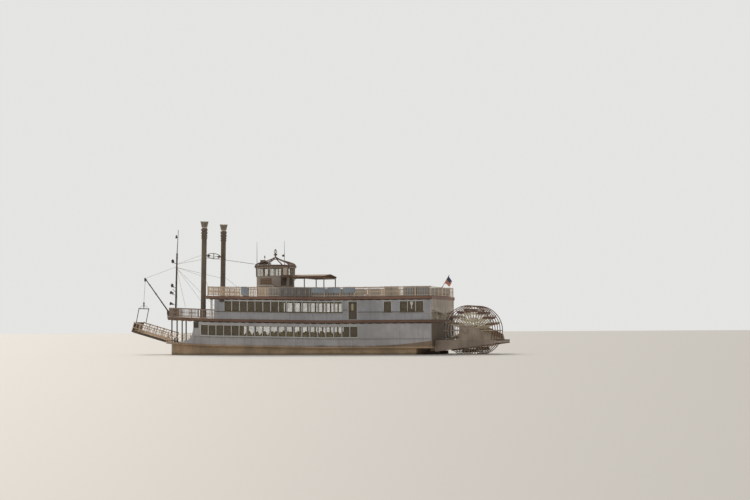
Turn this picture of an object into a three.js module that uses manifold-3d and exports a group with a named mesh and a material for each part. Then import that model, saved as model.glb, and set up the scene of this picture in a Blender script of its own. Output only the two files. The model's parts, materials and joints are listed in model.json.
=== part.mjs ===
// Stern-wheel excursion steamer, built as a 1:2 scale model.
// Frame: +X towards the bow, +Y to port, +Z up, origin on the flat bottom amidships, millimetres.

import * as THREE from 'three';
import { mergeVertices } from 'three/addons/utils/BufferGeometryUtils.js';
import Module from 'manifold-3d';

const wasm = await Module();
wasm.setup();

// One metre of the full-size ship, in millimetres of this 1:2 model.
const M = 500;
// Clearance between pieces that rest on each other.
const GAP = 0.3;

// Levels above the flat bottom, amidships.
const DRAFT = 1.25 * M;
const MAIN_DECK_Z = DRAFT + 0.95 * M;
const MAIN_DECK_DEPTH = 0.2 * M;
const DECK_DEPTH = 0.33 * M;
const DECK_TWO_Z = DRAFT + 4.08 * M;
const DECK_THREE_Z = DRAFT + 6.85 * M;

// The decks are level aft of the first knot and rise towards the bow past it.
const SHEER = [
  { from: -3 * M, slope: 0.021 },
  { from: 11 * M, slope: 0.05 },
];

// Ends of the hull, houses and decks along X, and half widths along Y.
const HALF_BEAM = 5.5 * M;
const STERN_X = -16.6 * M;
const HOUSE_AFT_X = -16.5 * M;
const LOWER_HOUSE_X = 13.4 * M;
const UPPER_HOUSE_X = 10.65 * M;
const DECK_THREE_X = 11.7 * M;
const BOW_X = 18.4 * M;
const BOW_START_X = 13.5 * M;
const MAIN_BOW_HALF = 1.9 * M;
const UPPER_BOW_HALF = 1.3 * M;
const WALL = 0.12 * M;
const HOUSE_HALF = 5.42 * M;

const HULL = {
  half: 5.2 * M, stem: 17.6 * M, rakeX: 13 * M, rakeZ: 1.1 * M, bowHalf: 2.2 * M,
  aft: -14.6 * M, aftRakeX: -12.2 * M, aftRakeZ: 0.95 * M,
};

const WINDOW = { width: 0.88 * M, height: 1.2 * M, pitch: 1.0 * M };
const LOWER_SILL = 1.14 * M;
const UPPER_SILL = 0.96 * M;

const WHEEL = {
  x: -20.25 * M, z: DRAFT + 2.78 * M, radius: 3.0 * M, half: 3.35 * M,
  discs: 5, arms: 18, shaftRadius: 0.2 * M, rimInner: 2.86 * M, rimHalf: 0.05 * M,
  armHalf: 0.08 * M, boardInner: 2.12 * M, boardOuter: 2.64 * M, boardHalf: 0.045 * M,
  collar: 0.28 * M, hub: 0.5 * M, hubHalf: 0.12 * M,
};

const paint = (color, roughness = 0.6, metalness = 0) =>
  new THREE.MeshStandardMaterial({ color, roughness, metalness });

const MATERIAL = {
  white: paint(0xc9ccd0),
  trim: paint(0x5a3328),
  deck: paint(0x8a8378, 0.8),
  hull: paint(0x5c5238, 0.7),
  iron: paint(0x4a423a, 0.6, 0.3),
  stack: paint(0x4b4239, 0.55, 0.3),
  wheel: paint(0x7d7068, 0.7),
  wood: paint(0x8b6a4a, 0.7),
  canvas: paint(0x6b5644, 0.9),
  rail: paint(0xa99a85, 0.6),
};

const steamer = new THREE.Group();

function rise(x) {
  return SHEER.reduce((sum, knot, index) => {
    const next = SHEER[index + 1];
    const end = next ? Math.min(x, next.from) : x;
    return sum + knot.slope * Math.max(0, end - knot.from);
  }, 0);
}

function solid(geometry) {
  const bare = geometry.index ? geometry.toNonIndexed() : geometry.clone();
  bare.deleteAttribute('normal');
  bare.deleteAttribute('uv');
  const merged = mergeVertices(bare, 0.001);
  return new wasm.Manifold(new wasm.Mesh({
    numProp: 3,
    vertProperties: new Float32Array(merged.attributes.position.array),
    triVerts: new Uint32Array(merged.index.array),
  }));
}

function geometryOf(shape) {
  const mesh = shape.getMesh();
  const geometry = new THREE.BufferGeometry();
  const points = new Float32Array((mesh.vertProperties.length / mesh.numProp) * 3);
  for (let i = 0; i < points.length / 3; i += 1) {
    points.set(mesh.vertProperties.subarray(i * mesh.numProp, i * mesh.numProp + 3), i * 3);
  }
  geometry.setAttribute('position', new THREE.BufferAttribute(points, 3));
  geometry.setIndex(new THREE.BufferAttribute(new Uint32Array(mesh.triVerts), 1));
  geometry.computeVertexNormals();
  return geometry;
}

function join(solids) {
  return solids.reduce((sum, next) => sum.add(next));
}

function add(name, shape, material, parent = steamer) {
  const geometry = shape.isBufferGeometry ? shape : geometryOf(shape);
  const mesh = new THREE.Mesh(geometry, material);
  mesh.name = name;
  parent.add(mesh);
  return mesh;
}

// A box by its low and high corners.
function box(low, high) {
  const size = high.map((value, axis) => value - low[axis]);
  const geometry = new THREE.BoxGeometry(...size);
  geometry.translate(...low.map((value, axis) => value + size[axis] / 2));
  return geometry;
}

// A straight round bar between two points, with an optional second radius at its far end.
function bar(start, end, radius, endRadius = radius, sides = 8) {
  const a = new THREE.Vector3(...start);
  const b = new THREE.Vector3(...end);
  const geometry = new THREE.CylinderGeometry(endRadius, radius, a.distanceTo(b), sides);
  const turn = new THREE.Quaternion().setFromUnitVectors(
    new THREE.Vector3(0, 1, 0),
    b.clone().sub(a).normalize(),
  );
  geometry.applyQuaternion(turn);
  geometry.translate(...a.add(b).multiplyScalar(0.5).toArray());
  return geometry;
}

// The corner radius of a bore whose flats clear a pin that turns in it.
function boreFor(pin, sides) {
  return (pin + GAP) / Math.cos(Math.PI / sides);
}

// A body turned about +Z, from rows of radius and height.
function turned(rows, segments = 16) {
  const profile = rows.map(([radius, height]) => new THREE.Vector2(radius, height));
  const geometry = new THREE.LatheGeometry(profile, segments);
  geometry.rotateX(Math.PI / 2);
  return geometry;
}

// An outline in X and Y carried up from one height to another.
function prism(shape, low, high, curveSegments = 8) {
  const geometry = new THREE.ExtrudeGeometry(shape, {
    depth: high - low, bevelEnabled: false, curveSegments,
  });
  geometry.translate(0, 0, low);
  return geometry;
}

// An outline in X and Z carried across from one Y to another.
function across(shape, low, high) {
  const geometry = new THREE.ExtrudeGeometry(shape, { depth: high - low, bevelEnabled: false });
  geometry.rotateX(Math.PI / 2);
  geometry.translate(0, high, 0);
  return geometry;
}

// An outline in Y and Z carried along from one X to another.
function lengthways(shape, low, high) {
  const geometry = new THREE.ExtrudeGeometry(shape, { depth: high - low, bevelEnabled: false });
  geometry.rotateX(Math.PI / 2);
  geometry.rotateZ(Math.PI / 2);
  geometry.translate(low, 0, 0);
  return geometry;
}

// Points along the sheer at one height, from one X to another.
function sheerLine(from, to, height) {
  const knots = SHEER.map((knot) => knot.from).filter((x) => x > from && x < to);
  return [from, ...knots, to].map((x) => new THREE.Vector2(x, height + rise(x)));
}

// A band in X and Z that follows the sheer between two heights.
function band(from, to, low, high) {
  return new THREE.Shape([
    ...sheerLine(from, to, low),
    ...sheerLine(from, to, high).reverse(),
  ]);
}

// A cutter for an opening in a side wall, its sill and head following the sheer.
function opening(from, to, low, high) {
  return solid(across(band(from, to, low, high), -7 * M, 7 * M));
}

// The plan of a deck with a rounded bow.
function deckPlan(aft, front, half, bowHalf, inset = 0) {
  const shape = new THREE.Shape();
  const side = half - inset;
  const nose = front - inset;
  shape.moveTo(aft, -side);
  shape.lineTo(BOW_START_X, -side);
  shape.quadraticCurveTo(nose - 0.6 * M, -side + 0.4 * M, nose, -bowHalf + inset);
  shape.lineTo(nose, bowHalf - inset);
  shape.quadraticCurveTo(nose - 0.6 * M, side - 0.4 * M, BOW_START_X, side);
  shape.lineTo(aft, side);
  shape.closePath();
  return shape;
}

const TALL = { low: -2 * M, high: 30 * M };

// The landing stage: where its hinge is, its slope, its size and its hinge's pin, barrel and lugs.
const STAGE = {
  x: BOW_X + 0.12 * M, lift: 15.7, length: 5.1 * M, half: 1.5 * M, depth: 0.2 * M, rail: 1.1 * M,
  root: 0.1 * M, pin: 0.035 * M, barrel: 0.07 * M, lug: 1.2 * M, lugWidth: 0.12 * M, lugHalf: 0.075 * M,
};
const STAGE_Z = MAIN_DECK_Z + rise(BOW_X) - 0.02 * M;
// The spreader bar over the stage's tip, in the stage's own frame; its legs stand on the rails.
const SPREADER = {
  x: 4.9 * M, z: 2.94 * M, half: 1.53 * M, foot: 4.78 * M, radius: 0.05 * M, leg: 0.035 * M,
  hook: [5.03 * M, 3.42 * M],
};

function deckSlab(plan, from, to, low, high) {
  const layer = solid(across(band(from, to, low, high), -7 * M, 7 * M));
  return layer.intersect(solid(prism(plan, TALL.low, TALL.high)));
}

// What is left of a solid above a deck, a gap off its sloping top.
function standing(shape, deckZ) {
  const under = band(STERN_X, BOW_X + M, deckZ - 3 * M, deckZ + GAP);
  return shape.subtract(solid(across(under, -7 * M, 7 * M)));
}

// Hull: a flat bottom with a raked bow and stern, closed by its deck.
function buildHull() {
  const top = MAIN_DECK_Z - MAIN_DECK_DEPTH - GAP;
  const profile = new THREE.Shape([
    new THREE.Vector2(HULL.aft, HULL.aftRakeZ),
    new THREE.Vector2(HULL.aftRakeX, 0),
    new THREE.Vector2(HULL.rakeX, 0),
    new THREE.Vector2(HULL.stem, HULL.rakeZ),
    ...sheerLine(HULL.aft, HULL.stem, top).reverse(),
  ]);
  const body = solid(across(profile, -HULL.half, HULL.half));
  const plan = deckPlan(HULL.aft, HULL.stem, HULL.half, HULL.bowHalf);
  add('hull', body.intersect(solid(prism(plan, TALL.low, TALL.high))), MATERIAL.hull);
}

function buildDecks() {
  const mainPlan = deckPlan(STERN_X, BOW_X, HALF_BEAM, MAIN_BOW_HALF);
  const low = MAIN_DECK_Z - MAIN_DECK_DEPTH;
  const slab = deckSlab(mainPlan, STERN_X, BOW_X, low, MAIN_DECK_Z);
  const lugs = [1, -1].map((side) => {
    const edges = [STAGE.lug, STAGE.lug + STAGE.lugWidth].map((y) => y * side).sort((a, b) => a - b);
    return solid(box(
      [BOW_X - 0.05 * M, edges[0], STAGE_Z - STAGE.lugHalf],
      [STAGE.x + STAGE.lugHalf, edges[1], STAGE_Z + STAGE.lugHalf],
    ));
  });
  const bore = bar([STAGE.x, -2 * M, STAGE_Z], [STAGE.x, 2 * M, STAGE_Z], boreFor(STAGE.pin, 16), undefined, 16);
  add('main_deck', join([slab, ...lugs]).subtract(solid(bore)), MATERIAL.deck);
  const upperPlan = deckPlan(STERN_X, BOW_X, HALF_BEAM, UPPER_BOW_HALF);
  add('deck_two', deckSlab(upperPlan, STERN_X, BOW_X, DECK_TWO_Z - DECK_DEPTH, DECK_TWO_Z), MATERIAL.trim);
  const top = band(STERN_X, DECK_THREE_X, DECK_THREE_Z - DECK_DEPTH, DECK_THREE_Z);
  add('deck_three', across(top, -HALF_BEAM, HALF_BEAM), MATERIAL.trim);
}

// Each row of windows: where its first window's aft edge is, how many, and how far apart.
const LOWER_WINDOWS = [{ first: -7.49 * M, count: 20, pitch: WINDOW.pitch }];
const UPPER_WINDOWS = [
  { first: -15.54 * M, count: 3, pitch: 0.98 * M },
  { first: -11.64 * M, count: 1, pitch: WINDOW.pitch },
  { first: -5.55 * M, count: 15, pitch: WINDOW.pitch },
];
const SIDE_DOOR = { from: -7.45 * M, to: -6.4 * M, low: 0.1 * M, high: 2.2 * M };

// The levels of each house: floor, underside of the deck above, sill height and front.
const LOWER_HOUSE = {
  name: 'lower', floor: MAIN_DECK_Z, roof: DECK_TWO_Z - DECK_DEPTH, sill: LOWER_SILL,
  front: LOWER_HOUSE_X, windows: LOWER_WINDOWS, doors: [], aftLow: GAP, wing: true,
};
const UPPER_HOUSE = {
  name: 'upper', floor: DECK_TWO_Z, roof: DECK_THREE_Z - DECK_DEPTH, sill: UPPER_SILL,
  front: UPPER_HOUSE_X, windows: UPPER_WINDOWS, doors: [SIDE_DOOR], aftLow: 1.15 * M, wing: false,
};

const FRONT_DOOR = { half: 0.55 * M, low: 0.1 * M, high: 2.15 * M };
// The bulwark wing ahead of the lower house: how far it reaches, and its heights at both ends.
const WING = { reach: 1.25 * M, tip: 0.3 * M, root: 2.1 * M, lap: 0.1 * M };

function wing(house, ...edges) {
  const foot = house.floor + GAP;
  const tip = house.front + WING.reach;
  const outline = new THREE.Shape();
  outline.moveTo(house.front - WING.lap, foot + rise(house.front - WING.lap));
  outline.lineTo(tip, foot + rise(tip));
  outline.lineTo(tip, foot + rise(tip) + WING.tip);
  outline.quadraticCurveTo(
    house.front + 0.1 * M,
    foot + rise(tip) + WING.tip,
    house.front,
    foot + rise(house.front) + WING.root,
  );
  outline.lineTo(house.front - WING.lap, foot + rise(house.front - WING.lap) + WING.root);
  outline.closePath();
  const flat = new THREE.ExtrudeGeometry(outline, {
    depth: edges[1] - edges[0], bevelEnabled: false, curveSegments: 6,
  });
  flat.rotateX(Math.PI / 2);
  flat.translate(0, edges[1], 0);
  return solid(flat);
}

const FRONT_WINDOWS = [-4.44, -3.24, -2.04, 1.16, 2.36, 3.56].map((y) => y * M);

function sideWall(house, side) {
  const cuts = house.windows.flatMap((row) => Array.from({ length: row.count }, (_, index) => {
    const aft = row.first + index * row.pitch;
    const sill = house.floor + house.sill;
    return opening(aft, aft + WINDOW.width, sill, sill + WINDOW.height);
  }));
  house.doors.forEach((door) => {
    cuts.push(opening(door.from, door.to, house.floor + door.low, house.floor + door.high));
  });
  const edges = [HOUSE_HALF - WALL, HOUSE_HALF].map((y) => y * side).sort((a, b) => a - b);
  const outline = band(HOUSE_AFT_X, house.front, house.floor + GAP, house.roof - GAP);
  const wall = solid(across(outline, ...edges)).subtract(join(cuts));
  return house.wing ? wall.add(wing(house, ...edges)) : wall;
}

// A wall across the house between two X positions, with a middle door and windows.
function crossWall(house, from, to, withDoor) {
  const half = HOUSE_HALF - WALL - GAP;
  const slab = solid(across(band(from, to, house.floor + GAP, house.roof - GAP), -half, half));
  const base = house.floor + rise(to);
  const cuts = FRONT_WINDOWS.map((y) => solid(box(
    [from - M, y, base + house.sill],
    [to + M, y + WINDOW.width, base + house.sill + WINDOW.height],
  )));
  if (withDoor) {
    cuts.push(solid(box(
      [from - M, -FRONT_DOOR.half, base + FRONT_DOOR.low],
      [to + M, FRONT_DOOR.half, base + FRONT_DOOR.high],
    )));
  }
  return slab.subtract(join(cuts));
}

// The open gallery below the upper aft wall: where its posts stand, and how thick its timbers are.
const GALLERY = { posts: [-5.2, -2.6, 0, 2.6, 5.2], post: 0.09 * M, rail: 0.95 * M, brace: 0.1 * M };

function galleryFrame(house) {
  const half = GALLERY.post / 2;
  const x = [HOUSE_AFT_X, HOUSE_AFT_X + GALLERY.post];
  const top = house.floor + house.aftLow + 0.05 * M;
  const posts = GALLERY.posts.map((y) => solid(box(
    [x[0], y * M - half, house.floor + GAP],
    [x[1], y * M + half, top],
  )));
  const ends = GALLERY.posts.slice(-1)[0] * M;
  const rail = solid(box(
    [x[0], -ends, house.floor + GALLERY.rail - half],
    [x[1], ends, house.floor + GALLERY.rail + half],
  ));
  const braces = [1, -1].map((side) => {
    const outer = side * ends;
    const inner = side * GALLERY.posts[3] * M;
    const shape = new THREE.Shape([
      new THREE.Vector2(outer, top), new THREE.Vector2(outer, top - GALLERY.brace),
      new THREE.Vector2(inner, house.floor + GAP), new THREE.Vector2(inner, house.floor + GALLERY.brace),
    ]);
    return solid(lengthways(shape, ...x));
  });
  return [...posts, rail, ...braces];
}

function buildHouses() {
  [LOWER_HOUSE, UPPER_HOUSE].forEach((house) => {
    add(`${house.name}_wall_port`, sideWall(house, 1), MATERIAL.white);
    add(`${house.name}_wall_starboard`, sideWall(house, -1), MATERIAL.white);
    add(`${house.name}_wall_front`, crossWall(house, house.front - WALL, house.front, true), MATERIAL.white);
    const aft = across(
      band(HOUSE_AFT_X, HOUSE_AFT_X + WALL, house.floor + house.aftLow, house.roof - GAP),
      -(HOUSE_HALF - WALL - GAP),
      HOUSE_HALF - WALL - GAP,
    );
    const whole = house.aftLow > GAP ? join([solid(aft), ...galleryFrame(house)]) : aft;
    add(`${house.name}_wall_aft`, whole, MATERIAL.white);
  });
}

// Doors turn inwards on a barrel that stands between sill and head; the gap round each lets it turn.
const DOOR = { half: 0.025 * M, gap: 8, hinge: 20 };

// One door: its barrel stands at the hinge, its leaf runs from there along one axis.
function door(hinge, along, length, low, high) {
  const barrel = bar([...hinge, low + GAP], [...hinge, high - GAP], DOOR.half, DOOR.half, 12);
  const end = hinge.map((value, axis) => value + along[axis] * length);
  const thick = along.map((step) => (step === 0 ? DOOR.half : 0));
  const lows = hinge.map((value, axis) => Math.min(value, end[axis]) - thick[axis]);
  const highs = hinge.map((value, axis) => Math.max(value, end[axis]) + thick[axis]);
  const leaf = box([...lows, low + DOOR.gap], [...highs, high - DOOR.gap]);
  return join([solid(leaf), solid(barrel)]);
}

function buildDoors() {
  [1, -1].forEach((side) => {
    const hinge = [SIDE_DOOR.from + DOOR.hinge, side * (HOUSE_HALF - WALL / 2 + DOOR.half)];
    const length = SIDE_DOOR.to - SIDE_DOOR.from - DOOR.hinge - DOOR.gap;
    const base = UPPER_HOUSE.floor;
    const panel = door(hinge, [1, 0], length, base + SIDE_DOOR.low, base + SIDE_DOOR.high);
    add(`upper_door_${side > 0 ? 'port' : 'starboard'}`, panel, MATERIAL.white);
  });
  [LOWER_HOUSE, UPPER_HOUSE].forEach((house) => {
    const hinge = [house.front - WALL / 2 + DOOR.half, FRONT_DOOR.half - DOOR.hinge];
    const length = 2 * FRONT_DOOR.half - DOOR.hinge - DOOR.gap;
    const base = house.floor + rise(house.front);
    const panel = door(hinge, [0, -1], length, base + FRONT_DOOR.low, base + FRONT_DOOR.high);
    add(`${house.name}_door_front`, panel, MATERIAL.white);
  });
}

// Pilothouse: six-sided, wider at the top, on a raised base, under an open crown of ribs.
const PILOT = {
  x: 4.75 * M, base: 1.2 * M, sill: 2.56 * M, head: 3.54 * M, top: 3.66 * M,
  lowRadius: 2.33 * M, highRadius: 2.4 * M, wall: 0.1 * M, windowHalf: 1.05 * M,
  eave: 2.56 * M, roofDepth: 0.18 * M, ribReach: 2.5 * M, ribHalf: 0.06 * M,
  canopyAft: 2.13 * M, canopyFront: 3.05 * M, canopyIn: 1.1 * M, canopyOut: 2.6 * M,
  canopyLow: 2.34 * M, canopyHigh: 2.5 * M,
};
const PILOT_SIDES = 6;
// Each crown rib's reach, as a share of the longest, and its height above the roof.
const RIB = [[1, 0], [0.97, 0.13], [0.88, 0.26], [0.7, 0.41], [0.4, 0.61], [0.18, 0.82], [0, 1.07]];
// The finial's radius and height above the roof.
const FINIAL = [
  [0, 0.9], [0.1, 0.9], [0.07, 1.32], [0.2, 1.4], [0.24, 1.48], [0.18, 1.56], [0.07, 1.6],
  [0.2, 1.74], [0.19, 1.84], [0.08, 1.98], [0, 2.07],
];
const PILOT_DECK_Z = DECK_THREE_Z + rise(PILOT.x + PILOT.highRadius);

// Stairs down aft on each side: where they start and end, and their steps.
const STAIR = { foot: 2.7 * M, head: 4.1 * M, front: 5.9 * M, inner: 1.5 * M, outer: 3.05 * M, steps: 5 };

function stairFlight(side) {
  const floor = PILOT_DECK_Z - 0.3 * M;
  const rise = PILOT.base / STAIR.steps;
  const tread = (STAIR.head - STAIR.foot) / STAIR.steps;
  const outline = [new THREE.Vector2(STAIR.front, floor), new THREE.Vector2(STAIR.foot, floor)];
  for (let step = 0; step < STAIR.steps; step += 1) {
    const x = STAIR.foot + step * tread;
    const z = PILOT_DECK_Z + (step + 1) * rise;
    outline.push(new THREE.Vector2(x, z), new THREE.Vector2(x + tread, z));
  }
  outline.push(new THREE.Vector2(STAIR.front, PILOT_DECK_Z + PILOT.base));
  const edges = [STAIR.inner, STAIR.outer].map((y) => y * side).sort((a, b) => a - b);
  return solid(across(new THREE.Shape(outline), ...edges));
}

function hexagon(rows) {
  const geometry = turned(rows, PILOT_SIDES);
  geometry.translate(PILOT.x, 0, PILOT_DECK_Z);
  return geometry;
}

function buildPilothouse() {
  const footing = hexagon([
    [0, -0.3 * M], [PILOT.lowRadius, -0.3 * M], [PILOT.lowRadius, PILOT.base], [0, PILOT.base],
  ]);
  const base = join([solid(footing), stairFlight(1), stairFlight(-1)]);
  add('pilothouse_base', standing(base, DECK_THREE_Z), MATERIAL.white);

  const walls = solid(hexagon([
    [PILOT.lowRadius - PILOT.wall, PILOT.base + GAP],
    [PILOT.lowRadius, PILOT.base + GAP],
    [PILOT.highRadius, PILOT.top],
    [PILOT.highRadius - PILOT.wall, PILOT.top],
    [PILOT.lowRadius - PILOT.wall, PILOT.base + GAP],
  ]));
  const windows = Array.from({ length: PILOT_SIDES }, (_, index) => {
    const cut = box([1.5 * M, -PILOT.windowHalf, PILOT.sill], [3.5 * M, PILOT.windowHalf, PILOT.head]);
    cut.rotateZ((index * 2 * Math.PI) / PILOT_SIDES);
    cut.translate(PILOT.x, 0, PILOT_DECK_Z);
    return solid(cut);
  });
  const room = solid(hexagon([
    [0, PILOT.base], [PILOT.lowRadius - PILOT.wall / 2, PILOT.base],
    [PILOT.highRadius - PILOT.wall / 2, PILOT.top], [0, PILOT.top],
  ]));
  const canopies = [1, -1].map((side) => {
    const edges = [PILOT.canopyIn, PILOT.canopyOut].map((y) => y * side).sort((a, b) => a - b);
    return solid(box(
      [PILOT.canopyAft, edges[0], PILOT_DECK_Z + PILOT.canopyLow],
      [PILOT.canopyFront, edges[1], PILOT_DECK_Z + PILOT.canopyHigh],
    )).subtract(room);
  });
  add('pilothouse_walls', join([walls, ...canopies]).subtract(join(windows)), MATERIAL.white);

  const roofLow = PILOT.top + GAP;
  const roofHigh = roofLow + PILOT.roofDepth;
  const roof = hexagon([[0, roofLow], [PILOT.eave, roofLow], [PILOT.eave, roofHigh], [0, roofHigh]]);
  add('pilothouse_roof', roof, MATERIAL.trim);

  const ribs = Array.from({ length: PILOT_SIDES }, (_, index) => {
    const path = new THREE.CatmullRomCurve3(
      RIB.map(([share, high]) => new THREE.Vector3(share * PILOT.ribReach, 0, roofHigh + high * M)),
    );
    const half = PILOT.ribHalf;
    const section = new THREE.Shape([
      new THREE.Vector2(-half, -half), new THREE.Vector2(half, -half),
      new THREE.Vector2(half, half), new THREE.Vector2(-half, half),
    ]);
    const rib = new THREE.ExtrudeGeometry(section, { steps: 6, extrudePath: path, bevelEnabled: false });
    rib.rotateZ(((index + 0.5) * 2 * Math.PI) / PILOT_SIDES);
    rib.translate(PILOT.x, 0, PILOT_DECK_Z);
    return solid(rib);
  });
  const knob = turned(FINIAL.map(([radius, high]) => [radius * M, roofHigh + high * M]), 8);
  knob.translate(PILOT.x, 0, PILOT_DECK_Z);
  const level = solid(box(
    [PILOT.x - 4 * M, -4 * M, PILOT_DECK_Z + roofHigh + GAP],
    [PILOT.x + 4 * M, 4 * M, PILOT_DECK_Z + roofHigh + 4 * M],
  ));
  add('roof_crown', join([...ribs, solid(knob)]).intersect(level), MATERIAL.trim);
}

// Awning over the upper deck: a low gable on four posts.
const AWNING = { aft: -2.4 * M, front: 2.1 * M, half: 2.35 * M, eave: 2.34 * M, ridge: 2.6 * M, depth: 0.18 * M };

function buildAwning() {
  const postAft = AWNING.aft + 0.12 * M;
  const postFront = AWNING.aft + 2.62 * M;
  const postHalf = AWNING.half - 0.12 * M;
  const under = DECK_THREE_Z + rise(AWNING.front) + AWNING.eave;
  const half = 0.05 * M;
  const top = under - GAP;
  const rods = [];
  [postAft, postFront].forEach((x) => {
    [-postHalf, postHalf].forEach((y) => {
      rods.push(box(
        [x - half, y - half, DECK_THREE_Z + rise(x + half) + GAP],
        [x + half, y + half, top],
      ));
    });
    rods.push(box([x - half, -postHalf - half, top - 0.12 * M], [x + half, postHalf + half, top]));
  });
  [-postHalf, postHalf].forEach((y) => {
    rods.push(box([postAft - half, y - half, top - 0.12 * M], [postFront + half, y + half, top]));
  });
  add('awning_frame', join(rods.map(solid)), MATERIAL.iron);

  const gable = new THREE.Shape([
    new THREE.Vector2(-AWNING.half, 0), new THREE.Vector2(AWNING.half, 0),
    new THREE.Vector2(AWNING.half, AWNING.depth),
    new THREE.Vector2(0, AWNING.depth + AWNING.ridge - AWNING.eave),
    new THREE.Vector2(-AWNING.half, AWNING.depth),
  ]);
  const cover = lengthways(gable, AWNING.aft, AWNING.front);
  cover.translate(0, 0, under);
  add('awning_cover', cover, MATERIAL.canvas);
}

// Rails: posts with a top rail and a foot rail.
const RAIL = { height: 1.1 * M, thick: 0.07 * M, post: 0.08 * M, pitch: 2.0 * M, inset: 0.12 * M };
const RAIL_BARS = [[0.1, 0.16], [1.02, 1.1]].map((row) => row.map((z) => z * M));

function straightRail(from, to, low, high, floor) {
  const parts = RAIL_BARS.map(([bottom, top]) => solid(across(
    band(from, to, floor + bottom, floor + top),
    low,
    high,
  )));
  const count = Math.ceil((to - from) / RAIL.pitch);
  for (let i = 0; i <= count; i += 1) {
    const x = from + (i * (to - from - RAIL.post)) / count;
    parts.push(solid(across(
      band(x, x + RAIL.post, floor + GAP, floor + RAIL.height - 0.02 * M),
      low,
      high,
    )));
  }
  return join(parts);
}

function crossRail(x, half, floor) {
  const base = floor + rise(x + RAIL.thick);
  const parts = RAIL_BARS.map(([bottom, top]) => solid(box(
    [x, -half, base + bottom],
    [x + RAIL.thick, half, base + top],
  )));
  const count = Math.ceil((2 * half) / RAIL.pitch);
  for (let i = 0; i <= count; i += 1) {
    const y = -half + (i * (2 * half - RAIL.post)) / count;
    parts.push(solid(box(
      [x, y, base + GAP],
      [x + RAIL.thick, y + RAIL.post, base + RAIL.height - 0.02 * M],
    )));
  }
  return join(parts);
}

function buildRails() {
  const outer = HALF_BEAM - RAIL.inset;
  const inner = outer - RAIL.thick;
  const aft = STERN_X + RAIL.inset;
  const front = DECK_THREE_X - RAIL.inset;
  add('deck_three_rail_port', straightRail(aft, front, inner, outer, DECK_THREE_Z), MATERIAL.rail);
  add('deck_three_rail_starboard', straightRail(aft, front, -outer, -inner, DECK_THREE_Z), MATERIAL.rail);
  add('deck_three_rail_aft', crossRail(aft, inner - GAP, DECK_THREE_Z), MATERIAL.rail);
  add('deck_three_rail_front', crossRail(front - RAIL.thick, inner - GAP, DECK_THREE_Z), MATERIAL.rail);

  const from = UPPER_HOUSE_X + GAP;
  const outline = deckPlan(from, BOW_X, HALF_BEAM, UPPER_BOW_HALF, RAIL.inset);
  const inside = deckPlan(from, BOW_X, HALF_BEAM, UPPER_BOW_HALF, RAIL.inset + RAIL.thick);
  const ring = solid(prism(outline, TALL.low, TALL.high)).subtract(solid(prism(inside, TALL.low, TALL.high)));
  const bars = RAIL_BARS.map(([bottom, top]) => solid(across(
    band(from, BOW_X, DECK_TWO_Z + bottom, DECK_TWO_Z + top),
    -7 * M,
    7 * M,
  )));
  const posts = [0, 0.2, 0.4, 0.6, 0.8, 1].map((share) => {
    const x = from + share * (BOW_X - RAIL.inset - RAIL.post - from);
    return solid(across(band(x, x + RAIL.post, DECK_TWO_Z + GAP, DECK_TWO_Z + RAIL.height - 0.02 * M), -7 * M, 7 * M));
  });
  const whole = join([...bars, ...posts]).intersect(ring);
  const half = 7 * M;
  const sides = { port: [0.1 * M, half], starboard: [-half, -0.1 * M] };
  Object.entries(sides).forEach(([name, [low, high]]) => {
    const keep = solid(box([from, low, TALL.low], [BOW_X, high, TALL.high]));
    add(`deck_two_rail_${name}`, whole.intersect(keep), MATERIAL.rail);
  });
}

// Chimneys: a pair across the foredeck, leaning aft, with turned collars and a flared crown.
const CHIMNEY = {
  x: 13.07 * M, y: 3.15 * M, height: 11.9 * M, radius: 0.315 * M, lean: THREE.MathUtils.degToRad(0.95),
};
const CHIMNEY_FOOT_Z = DECK_TWO_Z + rise(CHIMNEY.x);
// Radius and height of each turned ring, in metres of the ship, with heights below the top.
const CHIMNEY_PROFILE = [
  [0.315, -2.0], [0.38, -1.95], [0.38, -1.85], [0.34, -1.8], [0.41, -1.72], [0.41, -1.6],
  [0.34, -1.5], [0.42, -1.38], [0.42, -1.22], [0.35, -1.05], [0.39, -0.9], [0.28, -0.68],
  [0.3, -0.5], [0.44, 0],
];

function buildChimneys() {
  [1, -1].forEach((side) => {
    const body = turned([
      [0, -0.2 * M], [CHIMNEY.radius + 0.12 * M, -0.2 * M],
      [CHIMNEY.radius + 0.12 * M, 0.12 * M], [CHIMNEY.radius, 0.12 * M],
      ...CHIMNEY_PROFILE.map(([radius, below]) => [radius * M, CHIMNEY.height + below * M]),
      [0, CHIMNEY.height],
    ], 12);
    body.rotateY(-CHIMNEY.lean);
    body.translate(CHIMNEY.x, side * CHIMNEY.y, CHIMNEY_FOOT_Z);
    add(`chimney_${side > 0 ? 'port' : 'starboard'}`, standing(solid(body), DECK_TWO_Z), MATERIAL.stack);
  });
}

// The tie between the chimneys, with a long oval in its middle.
const TIE = {
  z: DRAFT + 12.23 * M, long: 2.25 * M, high: 0.37 * M, band: 0.08 * M, half: 0.03 * M, dart: 1.35 * M,
};

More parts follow.
